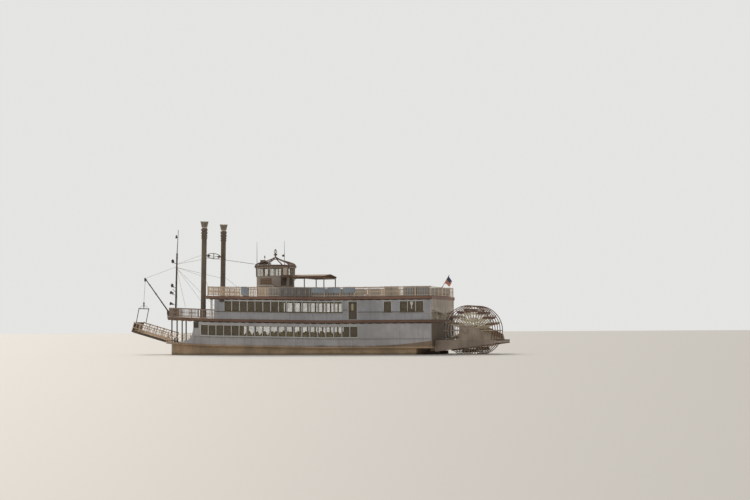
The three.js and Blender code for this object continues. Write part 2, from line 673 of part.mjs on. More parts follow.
function buildChimneyTie() {
  const x = CHIMNEY.x - Math.tan(CHIMNEY.lean) * (TIE.z - CHIMNEY_FOOT_Z);
  const oval = new THREE.Shape();
  oval.absellipse(0, TIE.z, TIE.long, TIE.high, 0, 2 * Math.PI);
  const hole = new THREE.Path();
  hole.absellipse(0, TIE.z, TIE.long - TIE.band, TIE.high - TIE.band, 0, 2 * Math.PI);
  oval.holes.push(hole);
  const reach = CHIMNEY.y - CHIMNEY.radius - GAP;
  const parts = [solid(lengthways(oval, x - TIE.half, x + TIE.half))];
  parts.push(solid(box(
    [x - TIE.half, -TIE.half, TIE.z - TIE.high + TIE.half],
    [x + TIE.half, TIE.half, TIE.z + TIE.high - TIE.half],
  )));
  [1, -1].forEach((side) => {
    parts.push(solid(bar([x, side * (TIE.long - 2 * TIE.half), TIE.z], [x, side * reach, TIE.z], TIE.half)));
    parts.push(solid(bar(
      [x, side * (TIE.dart - 0.3 * M), TIE.z],
      [x, side * (TIE.dart + 0.35 * M), TIE.z],
      0.02 * M,
      0.13 * M,
      6,
    )));
    parts.push(solid(bar([x, 0, TIE.z], [x, side * TIE.long, TIE.z], 0.02 * M)));
  });
  add('chimney_tie', join(parts), MATERIAL.iron);
}

// Mast with its topmast and lamp brackets, raked aft.
const MAST = { x: 18.1 * M, head: 12.65 * M, top: 15.54 * M, rake: 1.4 };

function buildMast() {
  const footZ = DECK_TWO_Z + rise(MAST.x) - 0.1 * M;
  const rake = Math.tan(THREE.MathUtils.degToRad(MAST.rake));
  const at = (z) => MAST.x - (z - footZ) * rake;
  const head = DRAFT + MAST.head;
  const top = DRAFT + MAST.top;
  const parts = [
    bar([at(footZ), 0, footZ], [at(head), 0, head], 0.1 * M, 0.085 * M, 10),
    bar([at(head) + 0.02 * M, 0, head - 0.6 * M], [at(top) - 0.1 * M, 0, top], 0.06 * M, 0.035 * M, 8),
  ];
  [11.4, 8.35, 6.2].forEach((height) => {
    const z = DRAFT + height * M;
    parts.push(bar([at(z), 0, z], [at(z) + 0.5 * M, 0, z + 0.25 * M], 0.04 * M, 0.04 * M, 6));
    parts.push(box(
      [at(z) + 0.38 * M, -0.11 * M, z + 0.15 * M],
      [at(z) + 0.6 * M, 0.11 * M, z + 0.38 * M],
    ));
  });
  add('mast', standing(join(parts.map(solid)), DECK_TWO_Z), MATERIAL.iron);
}

// Boom on a bracket ahead of the foredeck, luffing about its heel pin.
const BOOM = {
  x: 19.0 * M, z: DRAFT + 5.26 * M, length: 5.42 * M, angle: 52.8, radius: 0.085 * M,
  cheek: 0.15 * M, cheekWidth: 0.05 * M,
};

function buildBoom() {
  const deckTop = DECK_TWO_Z + rise(BOW_X);
  const cheek = (y) => solid(box(
    [BOOM.x - 0.18 * M, y, BOOM.z - 0.16 * M],
    [BOOM.x + 0.14 * M, y + BOOM.cheekWidth, BOOM.z + 0.14 * M],
  ));
  const reach = BOOM.cheek + BOOM.cheekWidth;
  const arm = solid(box(
    [BOW_X + GAP, -reach, deckTop - 0.2 * M],
    [BOOM.x + 0.14 * M, reach, BOOM.z - 0.15 * M],
  ));
  add('boom_bracket', join([cheek(-reach), cheek(BOOM.cheek), arm]), MATERIAL.iron);
  const slope = THREE.MathUtils.degToRad(BOOM.angle);
  const tip = [BOOM.x + BOOM.length * Math.cos(slope), 0, BOOM.z + BOOM.length * Math.sin(slope)];
  const spar = bar([BOOM.x, 0, BOOM.z], tip, BOOM.radius, 0.06 * M, 8);
  const eyeHalf = BOOM.cheek - GAP;
  const eye = bar([BOOM.x, -eyeHalf, BOOM.z], [BOOM.x, eyeHalf, BOOM.z], 0.1 * M, 0.1 * M, 12);
  const block = box(
    [tip[0] - 0.12 * M, -0.08 * M, tip[2] - 0.42 * M],
    [tip[0] + 0.1 * M, 0.08 * M, tip[2] + 0.1 * M],
  );
  add('boom', join([solid(spar), solid(eye), solid(block)]), MATERIAL.iron);
}

// Landing stage hinged at the bow, carried raised from its hoist.
function buildStage() {
  const stage = new THREE.Group();
  stage.position.set(STAGE.x, 0, STAGE_Z);
  stage.rotation.y = -THREE.MathUtils.degToRad(STAGE.lift);
  steamer.add(stage);
  const floor = join([
    solid(box([STAGE.root, -STAGE.half, -STAGE.depth / 2], [STAGE.length, STAGE.half, STAGE.depth / 2])),
    solid(box([0, -STAGE.lug + GAP, -STAGE.barrel], [STAGE.root + GAP, STAGE.lug - GAP, STAGE.barrel])),
    solid(bar([0, -STAGE.lug + GAP, 0], [0, STAGE.lug - GAP, 0], STAGE.barrel, STAGE.barrel, 16)),
    solid(bar(
      [0, -STAGE.lug - STAGE.lugWidth, 0],
      [0, STAGE.lug + STAGE.lugWidth, 0],
      STAGE.pin,
      STAGE.pin,
      16,
    )),
  ]);
  add('stage_floor', floor, MATERIAL.wood, stage);
  const top = STAGE.depth / 2 + GAP;
  [1, -1].forEach((side) => {
    const edges = [STAGE.half - 0.07 * M, STAGE.half].map((y) => y * side).sort((a, b) => a - b);
    const parts = [[0.45, 0.51], [1.03, 1.1]].map(([low, high]) => solid(box(
      [0.1 * M, edges[0], low * M],
      [STAGE.length, edges[1], high * M],
    )));
    [0.1, 1.1, 2.1, 3.1, 4.1, 5.03].forEach((x) => {
      parts.push(solid(box([x * M, edges[0], top], [(x + 0.07) * M, edges[1], 1.08 * M])));
    });
    add(`stage_rail_${side > 0 ? 'port' : 'starboard'}`, join(parts), MATERIAL.iron, stage);
  });
  const gate = box(
    [STAGE.length - 0.07 * M, -STAGE.half + 0.07 * M + GAP, top],
    [STAGE.length, STAGE.half - 0.07 * M - GAP, STAGE.rail],
  );
  add('stage_gate', gate, MATERIAL.iron, stage);

  const bar0 = [SPREADER.x, 0, SPREADER.z];
  const parts = [bar(
    [SPREADER.x, -SPREADER.half, SPREADER.z],
    [SPREADER.x, SPREADER.half, SPREADER.z],
    SPREADER.radius,
  )];
  [1, -1].forEach((side) => {
    const y = side * (STAGE.half - 0.035 * M);
    parts.push(bar([SPREADER.x, y, SPREADER.z], [SPREADER.foot, y, STAGE.rail - 0.1 * M], SPREADER.leg));
  });
  parts.push(bar(bar0, [SPREADER.hook[0], 0, SPREADER.hook[1]], SPREADER.leg, 0.09 * M));
  const overRails = box(
    [0, -2 * M, STAGE.rail + GAP],
    [STAGE.length, 2 * M, SPREADER.z + M],
  );
  add('stage_spreader', join(parts.map(solid)).intersect(solid(overRails)), MATERIAL.iron, stage);
}

// Posts that carry the foredeck above the main deck; the three at the nose share a beam.
const BOW_POSTS = [
  { name: 'bow_posts_front', x: 17.9 * M, ys: [-1.6 * M, 0, 1.6 * M] },
  { name: 'bow_post_port', x: 14.7 * M, ys: [4.6 * M] },
  { name: 'bow_post_starboard', x: 14.7 * M, ys: [-4.6 * M] },
];

function buildBowPosts() {
  const half = 0.06 * M;
  BOW_POSTS.forEach(({ name, x, ys }) => {
    const roof = DECK_TWO_Z - DECK_DEPTH + rise(x - half) - GAP;
    const floor = MAIN_DECK_Z + rise(x + half) + GAP;
    const parts = ys.map((y) => solid(box([x - half, y - half, floor], [x + half, y + half, roof])));
    if (ys.length > 1) {
      const beam = [Math.min(...ys), Math.max(...ys)];
      parts.push(solid(box([x - half, beam[0], roof - 0.14 * M], [x + half, beam[1], roof])));
    }
    add(name, join(parts), MATERIAL.iron);
  });
}

// Flagstaff on the aft rail, with the flag hanging beside it as a plain solid.
const STAFF = { foot: [-16.445, 7.95], tip: [-17.3, 9.38], radius: 0.035 * M };
const FLAG = { outline: [[-17.28, 9.28], [-17.6, 8.65], [-17.25, 8.1], [-16.72, 8.45]], thick: 0.22 * M };

function buildFlagstaff() {
  const at = (share) => [0, 1].map((axis) => STAFF.foot[axis] + share * (STAFF.tip[axis] - STAFF.foot[axis]));
  const [low, high] = [at(-0.1), at(1)];
  const pole = bar(
    [low[0] * M, 0, DRAFT + low[1] * M],
    [high[0] * M, 0, DRAFT + high[1] * M],
    STAFF.radius,
  );
  const railTop = DECK_THREE_Z + RAIL.height + GAP;
  const over = box([-20 * M, -M, railTop], [-15 * M, M, railTop + 5 * M]);
  add('flagstaff', solid(pole).intersect(solid(over)), MATERIAL.iron);
  const shape = new THREE.Shape(FLAG.outline.map(([x, z]) => new THREE.Vector2(x * M, DRAFT + z * M)));
  add('flag', across(shape, STAFF.radius + GAP, STAFF.radius + GAP + FLAG.thick), MATERIAL.canvas);
}

// Seats along both sides of the upper deck: one base beam each, with backs and seats standing on it.
const SEATS = {
  inner: 4.3 * M, back: 4.87 * M, outer: 4.95 * M, beam: 0.12 * M, seatLow: 0.4 * M, seatHigh: 0.48 * M,
  leg: 0.1 * M, high: 1.18 * M,
};
// Each back's ends, and whether it has a seat.
const SEAT_BACKS = [
  { from: -16.2 * M, to: -13.05 * M, seat: true },
  { from: -12.4 * M, to: -10.7 * M, seat: true },
  { from: -7.07 * M, to: -5.7 * M, seat: true },
  { from: -5.07 * M, to: -3.71 * M, seat: true },
  { from: -3.33 * M, to: -0.47 * M, seat: true },
  { from: -0.3 * M, to: 3.8 * M, seat: false },
];

function buildSeats() {
  const floor = DECK_THREE_Z;
  [1, -1].forEach((side) => {
    const plank = (from, to, inner, outer, low, high) => solid(across(
      band(from, to, floor + low, floor + high),
      ...[inner, outer].map((y) => y * side).sort((a, b) => a - b),
    ));
    const last = SEAT_BACKS[SEAT_BACKS.length - 1];
    const parts = [plank(SEAT_BACKS[0].from, last.to, SEATS.back - SEATS.leg, SEATS.outer, GAP, SEATS.beam)];
    SEAT_BACKS.forEach(({ from, to, seat }) => {
      parts.push(plank(from, to, SEATS.back, SEATS.outer, SEATS.beam / 2, SEATS.high));
      if (seat) {
        parts.push(plank(from, to, SEATS.inner, SEATS.outer - GAP, SEATS.seatLow, SEATS.seatHigh));
        [from, to - SEATS.leg].forEach((x) => {
          parts.push(plank(x, x + SEATS.leg, SEATS.inner, SEATS.inner + SEATS.leg, GAP, SEATS.seatHigh - GAP));
        });
      }
    });
    add(`deck_seats_${side > 0 ? 'port' : 'starboard'}`, join(parts), MATERIAL.rail);
  });
}

// Paddle wheel: five spiders of arms on one shaft, each carrying its share of every float board.
function buildWheel() {
  const wheel = new THREE.Group();
  wheel.position.set(WHEEL.x, 0, WHEEL.z);
  steamer.add(wheel);
  const reach = BEAM.inner + BEAM.thick + 0.15 * M;
  const shaft = bar([0, -reach, 0], [0, reach, 0], WHEEL.shaftRadius, WHEEL.shaftRadius, 16);
  const collars = [1, -1].map((side) => solid(bar(
    [0, side * (BEAM.inner - 0.12 * M), 0],
    [0, side * (BEAM.inner - GAP), 0],
    WHEEL.collar,
    WHEEL.collar,
    16,
  )));
  add('wheel_shaft', join([solid(shaft), ...collars]), MATERIAL.iron, wheel);
  const bay = (2 * WHEEL.half) / WHEEL.discs;
  for (let disc = 0; disc < WHEEL.discs; disc += 1) {
    const middle = -WHEEL.half + (disc + 0.5) * bay;
    const bore = WHEEL.shaftRadius + GAP;
    const hub = new THREE.LatheGeometry([
      new THREE.Vector2(bore, -WHEEL.hubHalf), new THREE.Vector2(WHEEL.hub, -WHEEL.hubHalf),
      new THREE.Vector2(WHEEL.hub, WHEEL.hubHalf), new THREE.Vector2(bore, WHEEL.hubHalf),
      new THREE.Vector2(bore, -WHEEL.hubHalf),
    ], 16);
    const rim = new THREE.LatheGeometry([
      new THREE.Vector2(WHEEL.rimInner, -WHEEL.rimHalf), new THREE.Vector2(WHEEL.radius, -WHEEL.rimHalf),
      new THREE.Vector2(WHEEL.radius, WHEEL.rimHalf), new THREE.Vector2(WHEEL.rimInner, WHEEL.rimHalf),
      new THREE.Vector2(WHEEL.rimInner, -WHEEL.rimHalf),
    ], WHEEL.arms);
    const parts = [solid(hub), solid(rim)];
    const boardReach = bay / 2 - GAP / 2;
    const armRoot = WHEEL.hub - 0.1 * M;
    const armTip = WHEEL.rimInner + 0.05 * M;
    for (let arm = 0; arm < WHEEL.arms; arm += 1) {
      const paddle = new THREE.Shape([
        new THREE.Vector2(armRoot, -WHEEL.armHalf), new THREE.Vector2(WHEEL.boardInner, -WHEEL.armHalf),
        new THREE.Vector2(WHEEL.boardInner, -boardReach), new THREE.Vector2(WHEEL.boardOuter, -boardReach),
        new THREE.Vector2(WHEEL.boardOuter, -WHEEL.armHalf), new THREE.Vector2(armTip, -WHEEL.armHalf),
        new THREE.Vector2(armTip, WHEEL.armHalf), new THREE.Vector2(WHEEL.boardOuter, WHEEL.armHalf),
        new THREE.Vector2(WHEEL.boardOuter, boardReach), new THREE.Vector2(WHEEL.boardInner, boardReach),
        new THREE.Vector2(WHEEL.boardInner, WHEEL.armHalf), new THREE.Vector2(armRoot, WHEEL.armHalf),
      ]);
      const piece = prism(paddle, -WHEEL.boardHalf, WHEEL.boardHalf);
      piece.rotateY((arm * 2 * Math.PI) / WHEEL.arms);
      parts.push(solid(piece));
    }
    const spider = geometryOf(join(parts));
    spider.translate(0, middle, 0);
    add(`wheel_spider_${disc + 1}`, spider, MATERIAL.wheel, wheel);
  }
}

// Tapered side beams carry the shaft's bearings aft of the hull, joined behind the wheel by a guard.
const BEAM = {
  inner: WHEEL.half + 0.25 * M, thick: 0.5 * M, aft: -23.75 * M, rootLow: 0.35 * M, tipLow: 1.3 * M,
  high: 1.66 * M, guard: 0.3 * M,
};
// The gusset that holds each bearing, in ship metres along X and above the waterline.
const GUSSET = [
  [-19.45, 1.66], [-19.55, 3.25], [-19.8, 3.36], [-20.7, 3.36], [-22.95, 2.3], [-23.1, 1.66],
];

function buildWheelBeams() {
  const root = STERN_X - GAP;
  [1, -1].forEach((side) => {
    const name = side > 0 ? 'port' : 'starboard';
    const edges = [BEAM.inner, BEAM.inner + BEAM.thick].map((y) => y * side).sort((a, b) => a - b);
    const beam = across(new THREE.Shape([
      new THREE.Vector2(root, DRAFT + BEAM.rootLow), new THREE.Vector2(root, DRAFT + BEAM.high),
      new THREE.Vector2(BEAM.aft, DRAFT + BEAM.high), new THREE.Vector2(BEAM.aft, DRAFT + BEAM.tipLow),
    ]), ...edges);
    add(`wheel_beam_${name}`, beam, MATERIAL.hull);

    const block = new THREE.Shape(GUSSET.map(([x, z], index) => new THREE.Vector2(
      x * M,
      DRAFT + z * M + (index === 0 || index === GUSSET.length - 1 ? GAP : 0),
    )));
    const bore = bar(
      [WHEEL.x, -6 * M, WHEEL.z],
      [WHEEL.x, 6 * M, WHEEL.z],
      boreFor(WHEEL.shaftRadius, 16),
      undefined,
      16,
    );
    add(`wheel_bearing_${name}`, solid(across(block, ...edges)).subtract(solid(bore)), MATERIAL.iron);
  });
  add('wheel_guard', box(
    [BEAM.aft, -BEAM.inner + GAP, DRAFT + BEAM.tipLow + 0.05 * M],
    [BEAM.aft + BEAM.guard, BEAM.inner - GAP, DRAFT + BEAM.high - 0.1 * M],
  ), MATERIAL.hull);
}

// Rudders hang under the stern ahead of the wheel.
const RUDDER = { x: -15.4 * M, y: 2.2 * M, chord: 1.2 * M, low: 0.15 * M, thick: 0.12 * M };

function buildRudders() {
  [1, -1].forEach((side) => {
    const top = MAIN_DECK_Z - MAIN_DECK_DEPTH;
    const blade = box(
      [RUDDER.x - RUDDER.chord, side * RUDDER.y - RUDDER.thick / 2, RUDDER.low],
      [RUDDER.x + 0.2 * M, side * RUDDER.y + RUDDER.thick / 2, top - 0.35 * M],
    );
    const stock = bar(
      [RUDDER.x, side * RUDDER.y, top - 0.5 * M],
      [RUDDER.x, side * RUDDER.y, top - GAP],
      0.08 * M,
      0.08 * M,
      10,
    );
    add(`rudder_${side > 0 ? 'port' : 'starboard'}`, join([solid(blade), solid(stock)]), MATERIAL.iron);
  });
}

// Engine: one plain block on the main deck, aft inside the lower house.
function buildEngine() {
  const size = { aft: -15 * M, front: -11.5 * M, half: 1.6 * M, height: 1.7 * M };
  add('engine_block', box(
    [size.aft, -size.half, MAIN_DECK_Z + GAP],
    [size.front, size.half, MAIN_DECK_Z + size.height],
  ), MATERIAL.iron);
}

buildHull();
buildDecks();
buildHouses();
buildDoors();
buildPilothouse();
buildAwning();
buildRails();
buildChimneys();
buildChimneyTie();
buildMast();
buildBoom();
buildStage();
buildBowPosts();
buildFlagstaff();
buildSeats();
buildWheel();
buildWheelBeams();
buildRudders();
buildEngine();

export default steamer;
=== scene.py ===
"""Dresses the stern-wheel steamer: windows, rails, crown, chimneys, rig, wheel, awning and flag.

Sizes are in metres of the full-size ship: X from amidships towards the bow, Y to port and Z above the
waterline. Form.piece halves them and lifts them onto the frame, whose origin is on the hull's bottom.
"""

import json
import logging
import math
from dataclasses import dataclass
from enum import Enum
from typing import Any, Iterable, Sequence

import bmesh
import bpy
from mathutils import Matrix, Vector

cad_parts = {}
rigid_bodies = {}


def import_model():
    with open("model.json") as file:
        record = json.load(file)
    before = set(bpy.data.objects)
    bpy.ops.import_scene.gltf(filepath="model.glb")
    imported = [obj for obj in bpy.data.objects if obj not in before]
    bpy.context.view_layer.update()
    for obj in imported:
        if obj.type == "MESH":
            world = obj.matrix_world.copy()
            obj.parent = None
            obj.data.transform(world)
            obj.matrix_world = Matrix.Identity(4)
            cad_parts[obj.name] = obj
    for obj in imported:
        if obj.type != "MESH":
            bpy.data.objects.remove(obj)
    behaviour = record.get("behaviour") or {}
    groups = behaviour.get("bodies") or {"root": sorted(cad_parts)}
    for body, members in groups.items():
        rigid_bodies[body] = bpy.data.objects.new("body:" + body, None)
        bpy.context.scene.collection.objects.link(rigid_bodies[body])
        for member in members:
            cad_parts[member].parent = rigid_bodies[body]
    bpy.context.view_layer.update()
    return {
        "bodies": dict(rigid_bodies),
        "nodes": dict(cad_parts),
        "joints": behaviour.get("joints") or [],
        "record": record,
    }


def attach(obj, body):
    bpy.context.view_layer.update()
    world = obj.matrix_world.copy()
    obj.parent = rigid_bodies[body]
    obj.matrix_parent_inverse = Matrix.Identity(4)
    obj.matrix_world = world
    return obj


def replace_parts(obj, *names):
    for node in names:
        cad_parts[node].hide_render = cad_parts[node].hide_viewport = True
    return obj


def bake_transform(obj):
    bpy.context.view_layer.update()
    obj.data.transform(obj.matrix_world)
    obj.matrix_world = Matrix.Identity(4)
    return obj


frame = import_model()

LOG = logging.getLogger("steamer")

Span = tuple[float, float]
Triple = tuple[float, float, float]
Numbers = tuple[float, ...]
Rows = tuple[Span, ...]
Boxes = tuple[tuple[Triple, Triple], ...]
Colour = Triple
Point = Sequence[float]

SCALE = 0.5
DRAFT = 1.25
MAIN_DECK = 0.95
DECK_TWO = 4.08
DECK_THREE = 6.85
DECK_DEPTH = 0.33
HALF_BEAM = 5.5
WALL_FACE = 5.42
WALL = 0.12
AFT_X = -16.5
STERN_X = -16.6
LOWER_FRONT = 13.4
UPPER_FRONT = 10.65
DECK_THREE_FRONT = 11.7
BOW_X = 18.4
BOW_START = 13.5
# The paint's share of light in the shade of the ship's near side, which the photograph shows.
SHADE = 0.52


def rise(x: float) -> float:
    """How far the decks stand above their level amidships at x."""
    return 0.021 * max(0.0, min(x, 11.0) + 3.0) + 0.05 * max(0.0, x - 11.0)


def shown(red: int, green: int, blue: int, light: float = SHADE) -> Colour:
    """The paint that shows as an sRGB colour where only that share of light falls on it.

    Args:
        red, green, blue: the colour that is seen, from 0 to 255.
        light: the share of light that falls there.

    Returns:
        The paint's own linear colour.
    """
    def linear(value: int) -> float:
        part = value / 255
        return part / 12.92 if part <= 0.04045 else ((part + 0.055) / 1.055) ** 2.4

    return tuple(min(0.86, linear(value) / light) for value in (red, green, blue))


# Materials.


class Wire:
    """A socket of a node tree, with arithmetic that adds Math nodes."""

    def __init__(self, shader: "Shader", socket: bpy.types.NodeSocket) -> None:
        """Keeps the shader that the socket belongs to."""
        self.shader = shader
        self.socket = socket

    def math(self, operation: str, *values: Any) -> "Wire":
        """A Math node, or Vector Math where this socket is a vector.

        Args:
            operation: the node's operation.
            values: its inputs in order, numbers, vectors or wires.

        Returns:
            The result.
        """
        vector = any(isinstance(v, Wire) and v.socket.type == "VECTOR" for v in values)
        kind = "ShaderNodeVectorMath" if vector else "ShaderNodeMath"
        return self.shader.node(kind, {"operation": operation}, dict(enumerate(values)))

    def __add__(self, other: Any) -> "Wire":
        """This plus other."""
        return self.math("ADD", self, other)

    def __radd__(self, other: Any) -> "Wire":
        """Other plus this."""
        return self.math("ADD", other, self)

    def __sub__(self, other: Any) -> "Wire":
        """This minus other."""
        return self.math("SUBTRACT", self, other)

    def __rsub__(self, other: Any) -> "Wire":
        """Other minus this."""
        return self.math("SUBTRACT", other, self)

    def __mul__(self, other: Any) -> "Wire":
        """This times other."""
        return self.math("MULTIPLY", self, other)

    def __rmul__(self, other: Any) -> "Wire":
        """Other times this."""
        return self.math("MULTIPLY", other, self)

    def __truediv__(self, other: Any) -> "Wire":
        """This over other."""
        return self.math("DIVIDE", self, other)

    def __abs__(self) -> "Wire":
        """This without its sign."""
        return self.math("ABSOLUTE", self)

    def fraction(self) -> "Wire":
        """What is left above the whole number."""
        return self.math("FRACT", self)

    def whole(self) -> "Wire":
        """The whole number below."""
        return self.math("FLOOR", self)

    def limit(self, low: float, high: float) -> "Wire":
        """Zero below low, one above high and smooth between; low may be the larger.

        Args:
            low: where it begins to differ from zero.
            high: where it reaches one.

        Returns:
            The eased number.
        """
        return self.shader.node(
            "ShaderNodeMapRange",
            {"interpolation_type": "SMOOTHSTEP"},
            {0: self, 1: low, 2: high, 3: 0.0, 4: 1.0},
        )


class Shader:
    """A material's node tree in the making."""

    def __init__(self, name: str) -> None:
        """Starts an empty tree under that name."""
        self.material = bpy.data.materials.new(name)
        self.material.use_nodes = True
        self.tree = self.material.node_tree
        self.tree.nodes.clear()

    def node(self, kind: str, settings: dict, inputs: dict, output: int | str = 0) -> Wire:
        """Adds a node.

        Args:
            kind: the node's type.
            settings: its own settings, set before its sockets; "stops" are a ramp's stops.
            inputs: values or wires by socket name or number.
            output: the socket that is handed back.

        Returns:
            The wire of that output.
        """
        made = self.tree.nodes.new(kind)
        for key, value in settings.items():
            if key == "stops":
                elements = made.color_ramp.elements
                while len(elements) < len(value):
                    elements.new(1.0)
                for element, (place, colour) in zip(elements, value):
                    element.position = place
                    element.color = (*colour, 1.0)
            else:
                setattr(made, key, value)
        for key, value in inputs.items():
            if isinstance(value, Wire):
                self.tree.links.new(value.socket, made.inputs[key])
            elif isinstance(value, tuple) and made.inputs[key].type == "RGBA":
                made.inputs[key].default_value = (*value, 1.0)
            else:
                made.inputs[key].default_value = value
        return Wire(self, made.outputs[output]) if len(made.outputs) else Wire(self, made.inputs[0])

    def place(self, stretch: Point = (1.0, 1.0, 1.0)) -> Wire:
        """Object coordinates, stretched along the axes."""
        where = self.node("ShaderNodeTexCoord", {}, {}, "Object")
        return where * Vector(stretch) if tuple(stretch) != (1.0, 1.0, 1.0) else where

    def split(self, vector: Wire) -> tuple[Wire, Wire, Wire]:
        """The three numbers of a vector.

        Args:
            vector: the wire that carries it.

        Returns:
            Its X, Y and Z.
        """
        first = self.node("ShaderNodeSeparateXYZ", {}, {0: vector})
        outputs = first.socket.node.outputs
        return first, Wire(self, outputs[1]), Wire(self, outputs[2])

    def noise(self, scale: float, detail: float = 3.0, stretch: Point = (1.0, 1.0, 1.0)) -> Wire:
        """Noise from 0 to 1 on object coordinates."""
        inputs = {"Vector": self.place(stretch), "Scale": scale, "Detail": detail, "Roughness": 0.6}
        return self.node("ShaderNodeTexNoise", {}, inputs, "Fac")

    def lottery(self, *steps: Wire) -> Wire:
        """A random number from 0 to 1 for each whole step."""
        joined = self.node("ShaderNodeCombineXYZ", {}, dict(enumerate(steps)))
        return self.node("ShaderNodeTexWhiteNoise", {}, {"Vector": joined}, "Value")

    def blend(self, factor: Any, first: Any, second: Any) -> Wire:
        """A colour between two, by a factor from 0 to 1."""
        settings = {"data_type": "RGBA", "clamp_factor": True}
        return self.node("ShaderNodeMix", settings, {0: factor, 6: first, 7: second}, 2)

    def bump(self, height: Wire, strength: float, distance: float) -> Wire:
        """The normal that a height gives."""
        inputs = {"Strength": strength, "Distance": distance, "Height": height}
        return self.node("ShaderNodeBump", {}, inputs)

    def surface(self, values: dict) -> bpy.types.Material:
        """Ends the tree in one Principled shader with those inputs.

        Args:
            values: values or wires by the name of the shader's socket.

        Returns:
            The finished material.
        """
        made = self.node("ShaderNodeBsdfPrincipled", {}, values)
        self.node("ShaderNodeOutputMaterial", {}, {"Surface": made})
        return self.material


class Seam(Enum):
    """Which coordinate counts the seams between boards."""

    NONE = "none"
    ALONG = "y"
    ACROSS = "x"


@dataclass(frozen=True)
class Finish:
    """What every finish has: its name, its colour and the nodes that make its material."""

    name: str
    colour: Colour

    def material(self) -> bpy.types.Material:
        """This finish as a material, made once."""
        known = bpy.data.materials.get(self.name)
        return known or self.build(Shader(self.name))

    def build(self, shader: Shader) -> bpy.types.Material:
        """Makes the nodes; each kind of finish has its own."""
        raise NotImplementedError


@dataclass(frozen=True)
class Paint(Finish):
    """A coat of paint with its patches, dirt, bare spots and streaks."""

    worn: Colour
    stain: Colour = (0.16, 0.09, 0.045)
    roughness: float = 0.55
    patches: float = 0.25
    wear: float = 0.35
    streaks: float = 0.0
    grain: float = 28.0
    metal: float = 0.0
    bump: float = 0.25
    seam: Seam = Seam.NONE
    pitch: float = 0.5
    # The height up to which splashes stain it, in metres of the model.
    foot: float = 0.0

    def build(self, shader: Shader) -> bpy.types.Material:
        """Makes the nodes.

        Args:
            shader: the empty tree.

        Returns:
            The finished material.
        """
        broad, fine = shader.noise(0.9, 4.0), shader.noise(self.grain, 4.0)
        dark = tuple(0.62 * part for part in self.colour)
        light = tuple(min(1.0, 1.18 * part + 0.01) for part in self.colour)
        coat = shader.blend(broad.limit(0.35, 0.68), dark, light)
        coat = shader.blend(self.patches, self.colour, coat)
        coat = shader.blend(fine * 0.22, coat, dark)
        bare = (shader.noise(5.5, 6.0) + fine * 0.35).limit(1.02 - self.wear * 0.45, 1.12 - self.wear * 0.3)
        colour = shader.blend(bare * self.wear * 1.6, coat, self.worn)
        height = fine * 0.4 - bare * 0.3
        x, y, z = shader.split(shader.place())
        if self.streaks:
            drips = shader.noise(2.6, 5.0, (2.4, 2.4, 0.16)).limit(0.53, 0.72)
            thin = shader.noise(9.0, 3.0, (2.0, 2.0, 0.06)).limit(0.5, 0.75)
            colour = shader.blend((drips * 0.75 + thin * 0.35) * self.streaks, colour, self.stain)
        if self.foot:
            splash = (z - self.foot + shader.noise(1.4, 4.0) * 0.18 - 0.09).limit(0.14, 0.0)
            colour = shader.blend(splash * 0.7, colour, self.stain)
        if self.seam is not Seam.NONE:
            count = (y if self.seam is Seam.ALONG else x) / self.pitch
            groove = abs(count.fraction() - 0.5).limit(0.455, 0.49)
            tone = shader.lottery(count.whole(), count.whole())
            colour = shader.blend(tone * 0.28, colour, self.worn)
            colour = shader.blend(groove * 0.6, colour, dark)
            height = height - groove * 1.5
        rough = fine * 0.16 + bare * 0.2 + (self.roughness - 0.1)
        return shader.surface({
            "Base Color": colour, "Metallic": self.metal, "Roughness": rough,
            "Normal": shader.bump(height, self.bump, 0.01),
        })


@dataclass(frozen=True)
class Glass(Finish):
    """Window glass, tinted and a little dirty, that lets what is behind it through."""

    alpha: float

    def build(self, shader: Shader) -> bpy.types.Material:
        """Makes the nodes.

        Args:
            shader: the empty tree.

        Returns:
            The finished material.
        """
        dirt = shader.noise(3.0, 5.0)
        dull = tuple(0.5 * part + 0.05 for part in self.colour)
        return shader.surface({
            "Base Color": shader.blend(dirt.limit(0.4, 0.75), self.colour, dull),
            "Roughness": dirt * 0.2 + 0.04,
            "Alpha": dirt.limit(0.3, 0.8) * 0.16 + self.alpha,
            "Normal": shader.bump(shader.noise(1.2, 2.0), 0.05, 0.02),
        })


@dataclass(frozen=True)
class Canvas(Finish):
    """Woven cloth on the piece's own UV map, with sun-bleached patches."""

    faded: Colour
    bands: tuple[Colour, ...] = ()
    weave: float = 260.0

    def build(self, shader: Shader) -> bpy.types.Material:
        """Makes the nodes.

        Args:
            shader: the empty tree.

        Returns:
            The finished material.
        """
        where = shader.node("ShaderNodeUVMap", {"uv_map": "weave"}, {}, 0)
        u, v, _ = shader.split(where)
        warp = abs((u * self.weave).fraction() - 0.5)
        weft = abs((v * self.weave).fraction() - 0.5)
        thread = (warp + weft) * 0.9
        colour: Any = self.colour
        if self.bands:
            field, first, second = self.bands
            stripe = (v * 6.5).fraction().limit(0.48, 0.52)
            colour = shader.blend(stripe, first, second)
            corner = v.limit(0.455, 0.465) * u.limit(0.73, 0.72)
            colour = shader.blend(corner, colour, field)
        broad = shader.noise(3.2, 5.0)
        colour = shader.blend(broad.limit(0.42, 0.75) * 0.55, colour, self.faded)
        dark = tuple(0.45 * part for part in self.colour)
        colour = shader.blend(thread.limit(0.35, 0.1) * 0.35, colour, dark)
        height = thread + shader.noise(14.0, 3.0) * 0.8
        return shader.surface({
            "Base Color": colour, "Roughness": broad * 0.12 + 0.8,
            "Normal": shader.bump(height, 0.35, 0.004),
        })


